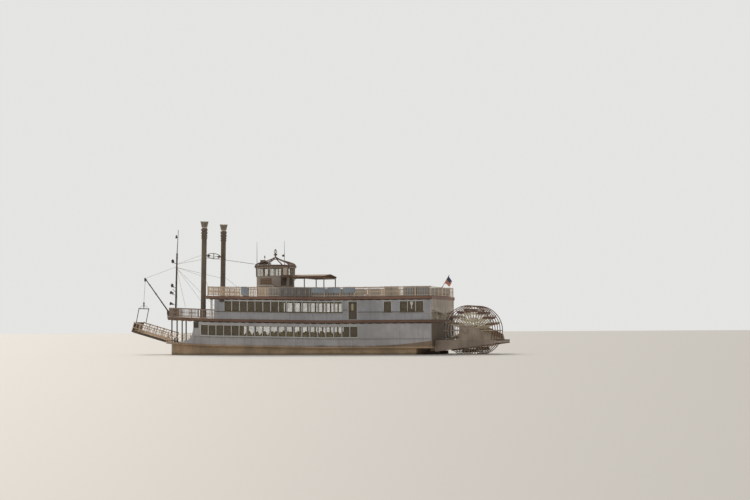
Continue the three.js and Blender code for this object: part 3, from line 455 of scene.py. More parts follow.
WALLS = Paint(
    "wall_paint", shown(149, 146, 146), shown(116, 108, 98), stain=(0.15, 0.1, 0.065), streaks=0.4,
    patches=0.45, wear=0.2, roughness=0.6, foot=1.08,
)
UPPER_WALLS = Paint(
    "upper_wall_paint", shown(137, 137, 140), shown(110, 106, 98), stain=(0.15, 0.1, 0.065), streaks=0.4,
    patches=0.45, wear=0.2, roughness=0.6,
)
PILOT_WALLS = Paint(
    "pilothouse_paint", shown(158, 147, 137), shown(128, 116, 104), streaks=0.3, patches=0.45, wear=0.25,
    roughness=0.6,
)
PALE_PANELS = Paint("panel_paint", shown(182, 166, 154), shown(140, 124, 112), streaks=0.3, patches=0.4)
SCREEN_BOARDS = Paint("screen_boards", shown(108, 88, 70), shown(74, 60, 48), streaks=0.2, patches=0.6)
CROWN = Paint("crown_paint", shown(96, 78, 66), shown(120, 98, 82), patches=0.5, wear=0.35, streaks=0.15)
HOODS = Paint("hood_paint", shown(84, 64, 50), shown(104, 84, 68), patches=0.5, wear=0.3)
TRIM = Paint(
    "deck_edge_paint", shown(112, 84, 70), shown(134, 106, 88), patches=0.5, wear=0.4, streaks=0.15,
)
# A little darker than the walls' paint: on the lower ledge it is partly the ledge's paint, partly the painted
# shadow line under the lower windows' sills.
LEDGE = Paint("ledge_paint", shown(131, 125, 119), shown(100, 92, 82), streaks=0.3, patches=0.5)
LOWER_TRIM = Paint(
    "lower_deck_edge_paint", shown(99, 75, 61), shown(122, 98, 82), patches=0.5, wear=0.4, streaks=0.15,
)
HANGINGS = Paint("hanging_board_paint", shown(146, 124, 110), shown(112, 90, 76), patches=0.5, wear=0.3)
HULL = Paint(
    "hull_paint", shown(149, 127, 101), shown(104, 88, 68), stain=shown(84, 74, 56), patches=0.7, wear=0.45,
    streaks=0.35, roughness=0.62, foot=0.66,
)
# The lower house's aft wall is painted a dark grey-brown, much darker than the other walls: painted shade on
# the stern wall.
STERN = Paint(
    "stern_wall_paint", shown(104, 94, 82), shown(78, 68, 58), patches=0.6, streaks=0.5, seam=Seam.ALONG,
    pitch=0.45,
)
AFT_PLANKS = Paint(
    "aft_wall_planks", shown(172, 164, 152), shown(128, 116, 102), stain=shown(72, 60, 50), patches=0.5,
    streaks=0.4, seam=Seam.ALONG, pitch=0.2167,
)
GUARD = Paint("stern_guard_paint", shown(112, 97, 80), shown(88, 76, 62), patches=0.6, wear=0.4, streaks=0.4)
GALLERY_BOARDS = Paint("gallery_boards", shown(192, 172, 154), shown(140, 122, 106), streaks=0.4, patches=0.6)
BEAMS = Paint(
    "wheel_beam_paint", shown(130, 116, 104), shown(96, 80, 66), patches=0.7, wear=0.4, streaks=0.5,
)
PLANKS = Paint(
    "deck_planks", shown(150, 138, 122, 0.8), shown(118, 104, 88, 0.8), seam=Seam.ALONG, pitch=0.075,
    patches=0.5, roughness=0.7,
)
STAGE_PLANKS = Paint(
    "stage_planks", shown(176, 150, 118, 0.6), shown(128, 104, 80, 0.6), seam=Seam.ACROSS, pitch=0.1,
    patches=0.5, roughness=0.72,
)
RAILING = Paint("rail_paint", shown(190, 170, 148, 0.6), shown(136, 114, 94), patches=0.4, wear=0.35)
# A darker copy of the rail paint for the bow's rails and pickets: painted shade on them.
SHADED_BOW_RAIL = Paint("bow_rail_paint", shown(136, 120, 106, 0.6), shown(104, 88, 74), patches=0.4, wear=0.35)
POSTS = Paint("awning_post_paint", shown(110, 92, 80), shown(84, 68, 56), patches=0.4, wear=0.4)
IRON = Paint(
    "ironwork_paint", shown(74, 64, 56), shown(112, 84, 62), patches=0.4, wear=0.4, roughness=0.5, metal=0.1,
)
STACK = Paint(
    "chimney_paint", shown(92, 82, 70), shown(70, 60, 50), stain=shown(52, 46, 40), patches=0.6, wear=0.3,
    streaks=0.6, roughness=0.55,
)
PALE_STACK = Paint(
    "chimney_neck_paint", shown(170, 164, 152), shown(120, 106, 90), patches=0.5, streaks=0.4,
)
LEAVES = Paint("chimney_leaf_paint", shown(122, 112, 98), shown(88, 78, 66), patches=0.6, streaks=0.3)
FRAMES = Paint("window_frame_paint", shown(164, 164, 160), shown(122, 114, 102), wear=0.4, grain=60.0)
SASHES = Paint("window_sash_paint", shown(82, 74, 56), shown(64, 56, 44), wear=0.4, grain=60.0)
BLINDS = Paint(
    "window_blind", shown(146, 130, 104), shown(84, 74, 54), patches=0.6, wear=0.2, roughness=0.8,
    seam=Seam.ACROSS, pitch=0.06,
)
BOOTHS = Paint("seat_backs", shown(84, 72, 54), shown(66, 56, 42), patches=0.5, roughness=0.75)
DOORS = Paint("door_paint", shown(112, 103, 90), shown(88, 72, 58), streaks=0.2, patches=0.5, grain=50.0)
# The side doors' pane is opaque pale paint: painted light for the brightness that shows through its glass.
LIT_PANE = Paint("lit_pane", shown(158, 148, 112), shown(116, 104, 78), roughness=0.25, patches=0.5)
DARK_DOORS = Paint("pilothouse_door_paint", shown(80, 72, 62), shown(60, 52, 44), streaks=0.2, patches=0.5)
# The arms' paint is a pale cream, lighter than their own brown: partly their paint, partly painted highlight
# for the sun glinting on them.
GLINTING_SPOKES = Paint(
    "wheel_arm_paint", shown(186, 168, 148), shown(124, 104, 88), patches=0.5, wear=0.6, grain=40.0,
)
BOARDS = Paint(
    "wheel_board_paint", shown(94, 66, 56), shown(112, 90, 76), patches=0.7, wear=0.55, streaks=0.3,
)
SEATS = Paint(
    "seat_paint", shown(122, 130, 138), shown(92, 88, 82), patches=0.4, seam=Seam.ACROSS, pitch=0.28,
)
SCREEN = Paint("screen_paint", shown(104, 100, 96), shown(128, 116, 102), patches=0.5, wear=0.3)
LAMPS = Paint("lamp_paint", shown(64, 56, 50), shown(96, 84, 70), wear=0.3, roughness=0.4, metal=0.3)
ROPE = Paint("rope", shown(120, 112, 102), shown(88, 80, 72), grain=160.0, roughness=0.85)
WHITE_TRIM = Paint("light_trim_paint", shown(176, 172, 164), shown(124, 112, 98), wear=0.4, streaks=0.2)
# Both clear glasses are tinted warm yellow: partly the glass's own tint, partly painted light for the warm
# glow seen through the windows.
PILOT_GLASS = Glass("pilothouse_glass", (0.72, 0.6, 0.38), 0.12)
WINDOW_GLASS = Glass("window_glass", (0.7, 0.58, 0.34), 0.12)
# The dark panes are a half-opaque dark brown: painted shade for the dim rooms behind them, laid over the
# blinds.
DARK_GLASS = Glass("dark_window_glass", shown(94, 84, 66), 0.5)
AWNING_CLOTH = Canvas("awning_canvas", shown(114, 96, 80), shown(136, 115, 96))
HEM_CLOTH = Canvas("awning_hem_canvas", shown(80, 61, 47), shown(98, 78, 62))
FLAG_CLOTH = Canvas(
    "flag_cloth", shown(96, 72, 80), shown(120, 112, 116),
    bands=(shown(58, 62, 84), shown(194, 66, 52), shown(212, 150, 132)), weave=60.0,
)


# Mesh building.


class Side(Enum):
    """A side of the ship, with the sign of its Y."""

    PORT = 1
    STARBOARD = -1

    @property
    def word(self) -> str:
        """The side's name, as in the names of nodes and pieces."""
        return self.name.lower()


class Plane(Enum):
    """The plane that an outline lies in; its thickness goes along the axis left out."""

    XY = (0, 1, 2)
    XZ = (0, 2, 1)
    YZ = (1, 2, 0)

    def point(self, first: float, second: float, depth: float) -> Vector:
        """A point of the outline at a depth.

        Args:
            first, second: its place in the plane.
            depth: its place along the axis left out.

        Returns:
            The point.
        """
        found = Vector((0.0, 0.0, 0.0))
        for axis, value in zip(self.value, (first, second, depth)):
            found[axis] = value
        return found


class Form:
    """A mesh being built, in metres of the ship."""

    def __init__(self) -> None:
        """Starts an empty mesh."""
        self.mesh = bmesh.new()

    def block(self, low: Point, high: Point, place: Matrix | None = None) -> None:
        """A box between two corners, moved by place.

        Args:
            low, high: the corners.
            place: where its own frame is, or None for the ship's.
        """
        middle = (Vector(low) + Vector(high)) / 2
        size = Vector(high) - Vector(low)
        shape = Matrix.Translation(middle) @ Matrix.Diagonal((*size, 1.0))
        bmesh.ops.create_cube(self.mesh, size=1.0, matrix=place @ shape if place else shape)

    def rod(self, start: Point, end: Point, radius: float, tip: float | None = None, sides: int = 8) -> None:
        """A straight round bar, tapered where tip is given.

        Args:
            start, end: the ends of its middle line.
            radius: its radius at the start.
            tip: its radius at the end.
            sides: how many sides it has.
        """
        along = Vector(end) - Vector(start)
        turn = along.to_track_quat("Z", "Y").to_matrix().to_4x4()
        bmesh.ops.create_cone(
            self.mesh, cap_ends=True, segments=sides, radius1=radius,
            radius2=radius if tip is None else tip, depth=along.length,
            matrix=Matrix.Translation(Vector(start) + along / 2) @ turn,
        )

    def turned(self, rows: Iterable[Point], place: Matrix, sides: int = 20) -> None:
        """A turned shape.

        Args:
            rows: radius and height of each ring, from the bottom up.
            place: where its foot and axis are.
            sides: how many steps it is turned in.
        """
        before = set(self.mesh.verts)
        points = [self.mesh.verts.new((radius, 0.0, height)) for radius, height in rows]
        edges = [self.mesh.edges.new(pair) for pair in zip(points, points[1:])]
        bmesh.ops.spin(
            self.mesh, geom=[*points, *edges], cent=(0, 0, 0), axis=(0, 0, 1), angle=math.tau,
            steps=sides, use_merge=True, use_duplicate=False,
        )
        made = [vertex for vertex in self.mesh.verts if vertex not in before]
        bmesh.ops.transform(self.mesh, matrix=place, verts=made)
        bmesh.ops.remove_doubles(self.mesh, verts=made, dist=0.00005)

    def plate(self, outline: Sequence[Point], plane: Plane, low: float, high: float) -> None:
        """A flat outline given thickness between two depths.

        Args:
            outline: its corners in order.
            plane: the plane that they lie in.
            low, high: the depths.
        """
        face = self.mesh.faces.new([self.mesh.verts.new(plane.point(*pair, low)) for pair in outline])
        grown = bmesh.ops.extrude_face_region(self.mesh, geom=[face])["geom"]
        moved = [part for part in grown if isinstance(part, bmesh.types.BMVert)]
        bmesh.ops.translate(self.mesh, vec=plane.point(0, 0, high - low), verts=moved)

    def tube(
        self, path: Sequence[Point], radius: float | Sequence[float], sides: int = 8, closed: bool = False,
        flat: float = 1.0,
    ) -> None:
        """A round bar along a bent path.

        Args:
            path: the points of its middle line.
            radius: its radius, or one for each point.
            sides: how many sides it has.
            closed: whether its last point joins its first.
            flat: how thick it is upwards, as a share of its width.
        """
        points = [Vector(point) for point in path]
        count = len(points)
        radii = [radius] * count if isinstance(radius, (int, float)) else list(radius)
        rings = []
        for index, point in enumerate(points):
            ahead = points[(index + 1) % count] if closed or index + 1 < count else point
            behind = points[index - 1] if closed or index else point
            turn = (ahead - behind).to_track_quat("Z", "Y").to_matrix().to_4x4()
            squeeze = Matrix.Diagonal((1.0, flat, 1.0, 1.0))
            ring = bmesh.ops.create_circle(
                self.mesh, segments=sides, radius=radii[index],
                matrix=Matrix.Translation(point) @ turn @ squeeze,
            )["verts"]
            rings.append(list({edge for vertex in ring for edge in vertex.link_edges}))
        pairs = list(zip(rings, rings[1:])) + ([(rings[-1], rings[0])] if closed else [])
        for first, second in pairs:
            bmesh.ops.bridge_loops(self.mesh, edges=[*first, *second])
        if not closed:
            for ring in (rings[0], rings[-1]):
                bmesh.ops.holes_fill(self.mesh, edges=ring, sides=sides)

    def ball(self, middle: Point, radius: float, stretch: Point = (1.0, 1.0, 1.0), rings: int = 6) -> None:
        """A ball, stretched along the axes.

        Args:
            middle: its middle.
            radius: its radius.
            stretch: its share of that along each axis.
            rings: how many steps it has from pole to pole.
        """
        shape = Matrix.Translation(Vector(middle)) @ Matrix.Diagonal((*stretch, 1.0))
        bmesh.ops.create_uvsphere(
            self.mesh, u_segments=2 * rings, v_segments=rings, radius=radius, matrix=shape,
        )

    def sheer(self, deck: float = 0.0) -> "Form":
        """Lifts everything by a deck's level amidships and by its rise.

        Args:
            deck: the level.

        Returns:
            This form.
        """
        for knot in (-3.0, 11.0):
            geometry = [*self.mesh.verts, *self.mesh.edges, *self.mesh.faces]
            bmesh.ops.bisect_plane(
                self.mesh, geom=geometry, dist=0.00001, plane_co=(knot, 0, 0), plane_no=(1, 0, 0),
            )
        for vertex in self.mesh.verts:
            vertex.co.z += deck + rise(vertex.co.x)
        return self

    def mirrored(self) -> "Form":
        """Adds the same to starboard."""
        geometry = [*self.mesh.verts, *self.mesh.edges, *self.mesh.faces]
        bmesh.ops.mirror(self.mesh, geom=geometry, axis="Y", merge_dist=-1.0)
        return self

    def moved(self, place: Matrix) -> "Form":
        """Moves everything."""
        bmesh.ops.transform(self.mesh, matrix=place, verts=self.mesh.verts[:])
        return self

    def piece(
        self, name: str, finish: Finish, slot: str, bevel: float = 0.0, smooth: float = 32.0,
        body: str | None = "ship",
    ) -> bpy.types.Object:
        """Ends the mesh as a piece of the model.

        Args:
            name: the piece's name.
            finish: what makes its material.
            slot: the record's material slot that it belongs to.
            bevel: the width of its rounded edges.
            smooth: the angle, in degrees, below which an edge is shaded smooth.
            body: the CAD body that it moves with, or None where it spans two.

        Returns:
            The piece's object.
        """
        bmesh.ops.recalc_face_normals(self.mesh, faces=self.mesh.faces[:])
        bmesh.ops.scale(self.mesh, vec=(SCALE,) * 3, verts=self.mesh.verts[:])
        bmesh.ops.translate(self.mesh, vec=(0, 0, DRAFT * SCALE), verts=self.mesh.verts[:])
        data = bpy.data.meshes.new(name)
        self.mesh.to_mesh(data)
        self.mesh.free()
        data.shade_smooth()
        data.set_sharp_from_angle(angle=math.radians(smooth))
        made = bpy.data.objects.new(name, data)
        bpy.context.scene.collection.objects.link(made)
        if bevel:
            edge = made.modifiers.new("edges", "BEVEL")
            edge.width = bevel * SCALE
            edge.segments = 2
            edge.limit_method = "ANGLE"
            edge.angle_limit = math.radians(40)
        data.materials.append(finish.material())
        if body:
            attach(made, body)
        LOG.info("%s: %d faces on %s", name, len(data.polygons), body or "two bodies")
        return made


def placed(x: float, y: float, z: float, turn: float = 0.0, axis: str = "Z") -> Matrix:
    """Turns what is built round the origin about an axis, then moves it to a point."""
    return Matrix.Translation((x, y, z)) @ Matrix.Rotation(turn, 4, axis)


def dress(finish: Finish, *nodes: str) -> None:
    """Gives CAD nodes a finish, their meshes left as they are.

    Args:
        finish: what makes their material.
        nodes: their names.
    """
    for node in nodes:
        data = frame["nodes"][node].data
        data.materials.clear()
        data.materials.append(finish.material())
        LOG.info("%s: dressed with %s", node, finish.name)


def both(name: str) -> tuple[str, str]:
    """A name for port and for starboard."""
    return f"{name}_{Side.PORT.word}", f"{name}_{Side.STARBOARD.word}"


def deck_edge(front_half: float, inset: float = 0.0, start: float = STERN_X, steps: int = 14) -> list[Point]:
    """The port edge of a deck's plan, from aft to the middle of its nose.

    Args:
        front_half: half the width of its nose.
        inset: how far inside the edge.
        start: where it begins.
        steps: how many points its curve has.

    Returns:
        Points in X and Y.
    """
    side, nose = HALF_BEAM - inset, BOW_X - inset
    ends = Vector((BOW_START, side)), Vector((nose - 0.6, side - 0.4)), Vector((nose, front_half - inset))
    curve = []
    for step in range(steps + 1):
        share = step / steps
        middle = ends[0].lerp(ends[1], share).lerp(ends[1].lerp(ends[2], share), share)
        curve.append(tuple(middle))
    return [(start, side), *curve, (nose, 0.0)]


def circle(radius: float, count: int) -> list[Vector]:
    """Evenly spaced points round the origin, level with it."""
    angles = (index * math.tau / count for index in range(count))
    return [Vector((radius * math.cos(angle), radius * math.sin(angle), 0.0)) for angle in angles]


def spaced(path: Sequence[Point], pitch: float) -> list[tuple[Vector, float]]:
    """Evenly spaced points along a path.

    Args:
        path: its corners.
        pitch: the distance between two points.

    Returns:
        Each point with the path's direction there, as an angle.
    """
    corners = [Vector(corner[:2]) for corner in path]
    lengths = [(b - a).length for a, b in zip(corners, corners[1:])]
    count = max(1, round(sum(lengths) / pitch))
    step = sum(lengths) / count
    found, index, passed = [], 0, 0.0
    for number in range(count + 1):
        want = min(number * step, sum(lengths) - 0.0001)
        while want > passed + lengths[index]:
            passed += lengths[index]
            index += 1
        along = (corners[index + 1] - corners[index]).normalized()
        found.append((corners[index] + along * (want - passed), math.atan2(along.y, along.x)))
    return found


# Sub-assemblies. Spans and rows in their tables run from aft to fore or from low to high.


@dataclass
class Storey:
    """One storey's windows: mullions, sill boards, sashes, glass and blinds."""

    name: str
    floor: float
    sill: float
    front: float
    # Each row of side windows: where it begins, how many windows it has and their pitch.
    rows: tuple[tuple[float, int, float], ...]
    clear_port: Span
    clear_starboard: Span
    sill_board: Span = (-0.13, -0.02)
    sill_paint: Paint = FRAMES
    width: float = 0.88
    height: float = 1.2
    front_rows: Numbers = (-4.44, -3.24, -2.04, 1.16, 2.36, 3.56)
    mullion: float = 0.065
    proud: float = 0.03
    ledge_proud: float = 0.07
    row_overlap: float = 0.1
    lone_gap: float = 0.06
    sash: float = 0.035
    pane_inset: float = 0.02
    narrowest: float = 0.03
    # Distances from the keel line.
    sash_depths: Span = (5.34, 5.39)
    pane_depths: Span = (5.355, 5.365)
    blind_depths: Span = (5.25, 5.28)
    batten_depths: Span = (5.22, 5.29)
    lamp_depths: Span = (5.367, 5.38)
    # Half of a lamp shade: its width and its height below the window's head.
    lamp_half: Rows = ((0.2, 0.0), (0.15, -0.3), (0.06, -0.42), (0.06, -0.82))

    def edges(self) -> list[float]:
        """Where each side window begins."""
        return [first + index * pitch for first, count, pitch in self.rows for index in range(count)]

    def stretches(self, aft: float, side: Side) -> list[tuple[bool, float, float]]:
        """The clear and covered stretches of a side window.

        Args:
            aft: where the window begins.
            side: the side that it is on.

        Returns:
            For each, whether it is clear and its two ends.
        """
        low, high = self.clear_port if side is Side.PORT else self.clear_starboard
        start, end = aft + self.pane_inset, aft + self.width - self.pane_inset
        parts = (
            (False, start, min(end, low)),
            (True, max(start, low), min(end, high)),
            (False, max(start, high), end),
        )
        return [part for part in parts if part[2] - part[1] > self.narrowest]

    def build(self) -> None:
        """Builds all pieces of the storey's windows."""
        sill = self.floor + self.sill
        top = sill + self.height
        self.casings(sill, top)
        self.sashes(sill, top)
        for side in Side:
            self.fill(side, sill, top)
        self.front_windows()

    def casings(self, sill: float, top: float) -> None:
        """Pale mullions between the windows, with a head and a sill board along each row.

        Args:
            sill, top: the windows' lower and upper edges amidships.
        """
        form, boards = Form(), Form()
        half, out = self.mullion / 2, WALL_FACE + self.proud
        below, above = self.sill_board
        for first, count, pitch in self.rows:
            last = first + (count - 1) * pitch + self.width
            gap = (pitch - self.width) / 2 if count > 1 else self.lone_gap
            for middle in [first - gap + index * pitch for index in range(count)] + [last + gap]:
                form.block((middle - half, WALL_FACE, sill - 0.05), (middle + half, out, top + 0.05))
            aft, front = first - self.row_overlap, last + self.row_overlap
            form.block((aft, WALL_FACE, top + 0.02), (front, out, top + 0.07))
            boards.block((aft, WALL_FACE, sill + below), (front, WALL_FACE + self.ledge_proud, sill + above))
        form.sheer().mirrored().piece(f"{self.name}_window_casings", FRAMES, "white", 0.006)
        boards.sheer().mirrored().piece(f"{self.name}_window_sills", self.sill_paint, "white", 0.006)

    def sashes(self, sill: float, top: float) -> None:
        """Dark sashes just inside each opening.

        Args:
            sill, top: the windows' lower and upper edges amidships.
        """
        form = Form()
        inner, outer = self.sash_depths
        for aft in self.edges():
            front = aft + self.width
            for low, high in ((aft, aft + self.sash), (front - self.sash, front)):
                form.block((low, inner, sill), (high, outer, top))
            for low, high in ((sill, sill + self.sash), (top - self.sash, top)):
                form.block((aft + self.sash, inner, low), (front - self.sash, outer, high))
        form.sheer().mirrored().piece(f"{self.name}_window_sashes", SASHES, "white")

    def fill(self, side: Side, sill: float, top: float) -> None:
        """Glass along one side, with blinds behind its dark panes.

        Args:
            side: the side of the ship.
            sill, top: the windows' lower and upper edges amidships.
        """
        clear, dark, blinds = Form(), Form(), Form()

        def slab(form: Form, length: Span, depths: Span, heights: Span) -> None:
            """A block at a distance from the keel line, on this side."""
            inner, outer = sorted(depth * side.value for depth in depths)
            form.block((length[0], inner, heights[0]), (length[1], outer, heights[1]))

        pane = (sill + self.pane_inset, top - self.pane_inset)
        for aft in self.edges():
            for open_view, start, end in self.stretches(aft, side):
                slab(clear if open_view else dark, (start, end), self.pane_depths, pane)
                if open_view:
                    continue
                if start < aft + self.narrowest:
                    start -= 0.07
                if end > aft + self.width - self.narrowest:
                    end += 0.07
                slab(blinds, (start, end), self.blind_depths, (sill - 0.1, top + 0.1))
                slab(blinds, (start, end), self.batten_depths, (sill + 0.08, sill + 0.12))
        clear.sheer().piece(f"{self.name}_glass_{side.word}", WINDOW_GLASS, "white")
        dark.sheer().piece(f"{self.name}_dark_glass_{side.word}", DARK_GLASS, "white")
        blinds.sheer().piece(f"{self.name}_blinds_{side.word}", BLINDS, "white", 0.006)

    def shade(self, middle: float) -> None:
        """A pale lamp shade that shows in one dark window on each side.

        Args:
            middle: the X of its middle.
        """
        form = Form()
        top = self.floor + self.sill + self.height - 0.05
        right = [(middle + x, top + z) for x, z in self.lamp_half]
        left = [(middle - x, top + z) for x, z in reversed(self.lamp_half)]
        form.plate([*right, *left], Plane.XZ, *self.lamp_depths)
        form.mirrored().piece(f"{self.name}_lamp_shades", WHITE_TRIM, "white", 0.003)

    def front_windows(self) -> None:
        """Frames and glass in the house's front wall."""
        sill = self.floor + rise(self.front) + self.sill
        top = sill + self.height
        frames, glass = Form(), Form()
        x, out = self.front, self.front + self.proud
        middle, frame = self.front - WALL / 2, self.mullion
        for left in self.front_rows:
            right = left + self.width
            for low, high in ((left - frame, left), (right, right + frame)):
                frames.block((x, low, sill - frame), (out, high, top + frame))
            for low, high in ((sill - frame, sill), (top, top + frame)):
                frames.block((x, left, low), (out, right, high))
            frames.block((x, left - 0.1, sill - 0.11), (x + self.ledge_proud, right + 0.1, sill - 0.06))
            centre = left + self.width / 2
            frames.block((middle - 0.02, centre - 0.02, sill), (middle + 0.02, centre + 0.02, top))
            low, high = (middle - 0.005, left + 0.01, sill + 0.01), (middle + 0.005, right - 0.01, top - 0.01)
            glass.block(low, high)
        frames.piece(f"{self.name}_front_casings", FRAMES, "white", 0.008)
        glass.piece(f"{self.name}_front_glass", WINDOW_GLASS, "white")


@dataclass
class Booths:
    """Seat backs inside the lower saloon, which show dark in the lower half of its clear windows."""

    first: float = -5.05
    count: int = 13
    pitch: float = 1.0
    sill: float = MAIN_DECK + 1.14
    depths: Span = (4.98, 5.06)
    # Points from aft to fore: X from the bay's middle, with the height from the back's top (near and
    # far ends) or from the sill (the gap between two backs).
    near: Rows = ((-0.5, -0.1), (-0.34, 0.0))
    gap: Rows = ((-0.17, 0.34), (-0.04, 0.1), (0.1, 0.3), (0.26, 0.6))
    far: Rows = ((0.4, -0.06), (0.5, -0.1))

    def build(self) -> None:
        """Builds the backs for both sides."""
        backs = Form()
        floor = MAIN_DECK + 0.02
        for index in range(self.count):
            x = self.first + index * self.pitch
            top = self.sill + 0.62 + 0.08 * math.sin(2.4 * index)
            outline = [(x + along, top + up) for along, up in self.near]
            outline += [(x + along, self.sill + up) for along, up in self.gap]
            outline += [(x + along, top + up) for along, up in self.far]
            ends = (outline[0][0], floor), (outline[-1][0], floor)
            backs.plate([ends[0], *outline, ends[1]], Plane.XZ, *self.depths)
        backs.sheer().mirrored().piece("saloon_seat_backs", BOOTHS, "wood", 0.015)


@dataclass
class Edges:
    """Trim along the decks and walls: nosings, scalloped hangings, ledges, strakes and pipes."""

    scallop: float = 1.0
    steps: int = 8
    drop: float = 0.07
    board: float = 0.03
    # How far below the deck's top each nosing lies, and its radius.
    nosings: Rows = ((0.035, 0.035), (0.3, 0.03))
    lower_ledge: float = 1.88
    upper_ledge: float = 4.86
    frieze: Span = (6.3, 6.42)
    port_doorway: Span = (-7.53, -6.32)
    lower_corners: Span = (0.97, 3.74)
    upper_corners: Span = (4.1, 6.5)
    sweep: Rows = (
        (-8.0, 0.96), (-16.58, 0.96), (-16.58, 1.62), (-14.2, 1.34), (-11.4, 1.12), (-9.4, 1.02),
    )
    # Pipes along the upper wall: their two ends and their height.
    pipes: tuple[Triple, ...] = (
        (-12.5, -11.76, 5.03), (-10.64, -7.58, 5.03), (-6.28, -5.68, 5.29), (9.45, 10.52, 5.26),
    )
    pipe_radius: float = 0.024
    deck_two_nose: float = 1.3
    main_deck_nose: float = 1.9

    def build(self) -> None:
        """Builds the trim of hull, houses and decks."""
        dress(LOWER_TRIM, "deck_two")
        dress(TRIM, "deck_three")
        dress(HULL, "hull", "main_deck")
        dress(STERN, "lower_wall_aft")
        dress(WALLS, *both("lower_wall"), "lower_wall_front")
        dress(UPPER_WALLS, *both("upper_wall"), "upper_wall_front")
        self.mouldings()
        self.hangings()
        self.ledges()
        self.guards()
        self.wall_pipes()
        self.planking()
        self.strake()

    def mouldings(self) -> None:
        """Round nosings along both edges of each upper deck's side."""
        curved = deck_edge(self.deck_two_nose)
        straight = [point for point, _ in spaced(curved, 0.9) if point.x < BOW_START - 0.4]
        square = [(STERN_X, HALF_BEAM), (DECK_THREE_FRONT, HALF_BEAM), (DECK_THREE_FRONT, 0.0)]
        for name, level, path, finish in (
            ("deck_two_nosing", DECK_TWO, [*straight, *curved[1:]], LOWER_TRIM),
            ("deck_three_nosing", DECK_THREE, square, TRIM),
        ):
            form = Form()
            for down, radius in self.nosings:
                form.tube([(x, y, level - down) for x, y in path], radius)
            form.sheer().mirrored().piece(name, finish, "trim")

    def hangings(self) -> None:
        """The scalloped boards that hang below the deck edges."""
        side = HALF_BEAM - self.board
        for name, level, path in (
            ("deck_two_scallops", DECK_TWO, deck_edge(self.deck_two_nose, self.board)),
            ("deck_three_scallops", DECK_THREE, [(STERN_X, side), (DECK_THREE_FRONT - self.board, side)]),
        ):
            form = Form()
            points = [point for point, _ in spaced(path, self.scallop / self.steps)]
            chain = [form.mesh.verts.new((x, y, level - DECK_DEPTH)) for x, y in points]
            edges = [form.mesh.edges.new(pair) for pair in zip(chain, chain[1:])]
            grown = bmesh.ops.extrude_edge_only(form.mesh, edges=edges)["geom"]
            for vertex in (part for part in grown if isinstance(part, bmesh.types.BMVert)):
                number = min(range(len(chain)), key=lambda i: (chain[i].co.xy - vertex.co.xy).length)
                wave = abs(math.sin(math.pi * number / self.steps))
                vertex.co.z -= self.board + self.drop * wave
            bmesh.ops.solidify(form.mesh, geom=form.mesh.faces[:], thickness=self.board)
            form.sheer().mirrored().piece(name, HANGINGS, "trim")

    def ledges(self) -> None:
        """Ledges under the windows, a frieze above the upper ones, and boards at the corners."""
        lower, upper = Form(), Form()
        low, high = self.lower_ledge - 0.04, self.lower_ledge + 0.03
        # The lower ledge's darker paint also paints the shadow line under the sills.
        lower.block((AFT_X, WALL_FACE, low), (LOWER_FRONT, WALL_FACE + 0.06, high))
        lower.sheer().mirrored().piece("lower_wall_ledge", LEDGE, "white", 0.01)
        low, high = self.upper_ledge - 0.035, self.upper_ledge + 0.03
        for aft, front in ((AFT_X, self.port_doorway[0]), (self.port_doorway[1], UPPER_FRONT)):
            upper.block((aft, WALL_FACE, low), (front, WALL_FACE + 0.05, high))
        for front, (low, high) in ((LOWER_FRONT, self.lower_corners), (UPPER_FRONT, self.upper_corners)):
            for x in (AFT_X, front - WALL):
                upper.block((x, WALL_FACE, low), (x + WALL, WALL_FACE + 0.03, high))
        low, high = self.frieze
        upper.block((AFT_X, WALL_FACE, low), (UPPER_FRONT, WALL_FACE + 0.025, high))
        upper.sheer().mirrored().piece("wall_ledges", WALLS, "white", 0.01)

    def guards(self) -> None:
        """The guard board that sweeps up along the lower house's foot towards the stern."""
        form = Form()
        form.plate(self.sweep, Plane.XZ, WALL_FACE, WALL_FACE + 0.06)
        form.mirrored().piece("stern_guard", GUARD, "hull", 0.02)

    def wall_pipes(self) -> None:
        """Thin pipes along the upper wall, each with a clip near both ends."""
        form = Form()
        y = WALL_FACE + 0.03
        for aft, front, level in self.pipes:
            form.rod((aft, y, level), (front, y, level), self.pipe_radius, sides=6)
            for x in (aft + 0.08, front - 0.08):
                form.block((x - 0.025, WALL_FACE, level - 0.035), (x + 0.025, y + 0.026, level + 0.035))
        form.mirrored().piece("wall_pipes", IRON, "iron")

    def planking(self) -> None:
        """Thin planking on the decks."""
        top = Form()
        aft, front, side = STERN_X + 0.05, DECK_THREE_FRONT - 0.05, HALF_BEAM - 0.06
        top.block((aft, -side, DECK_THREE + 0.001), (front, side, DECK_THREE + 0.014))
        top.sheer().piece("deck_three_planking", PLANKS, "wood")
        for name, level, nose, start in (
            ("deck_two_planking", DECK_TWO, self.deck_two_nose, UPPER_FRONT + 0.02),
            ("main_deck_planking", MAIN_DECK, self.main_deck_nose, LOWER_FRONT + 0.02),
        ):
            port = deck_edge(nose, 0.06, start)[:-1]
            form = Form()
            outline = [*port, *((x, -y) for x, y in reversed(port))]
            form.plate(outline, Plane.XY, level + 0.001, level + 0.014)
            form.sheer().piece(name, PLANKS, "wood")

    def strake(self) -> None:
        """The rubbing strake round the main deck, and the round cap above it."""
        straight = [(x, HALF_BEAM - 0.03) for x in (STERN_X + 0.02, -3.0, 11.0)]
        curve = [
            (x - 0.03 if x > 18 else x, y - 0.03 if y > 0.05 else 0.0)
            for x, y in deck_edge(self.main_deck_nose)[1:]
        ]
        for name, level, radius, finish in (
            ("rubbing_strake", MAIN_DECK - 0.1, 0.075, HULL), ("strake_cap", MAIN_DECK - 0.012, 0.03, TRIM),
        ):
            form = Form()
            form.tube([(x, y, level) for x, y in [*straight, *curve]], radius)
            form.sheer().mirrored().piece(name, finish, "hull")


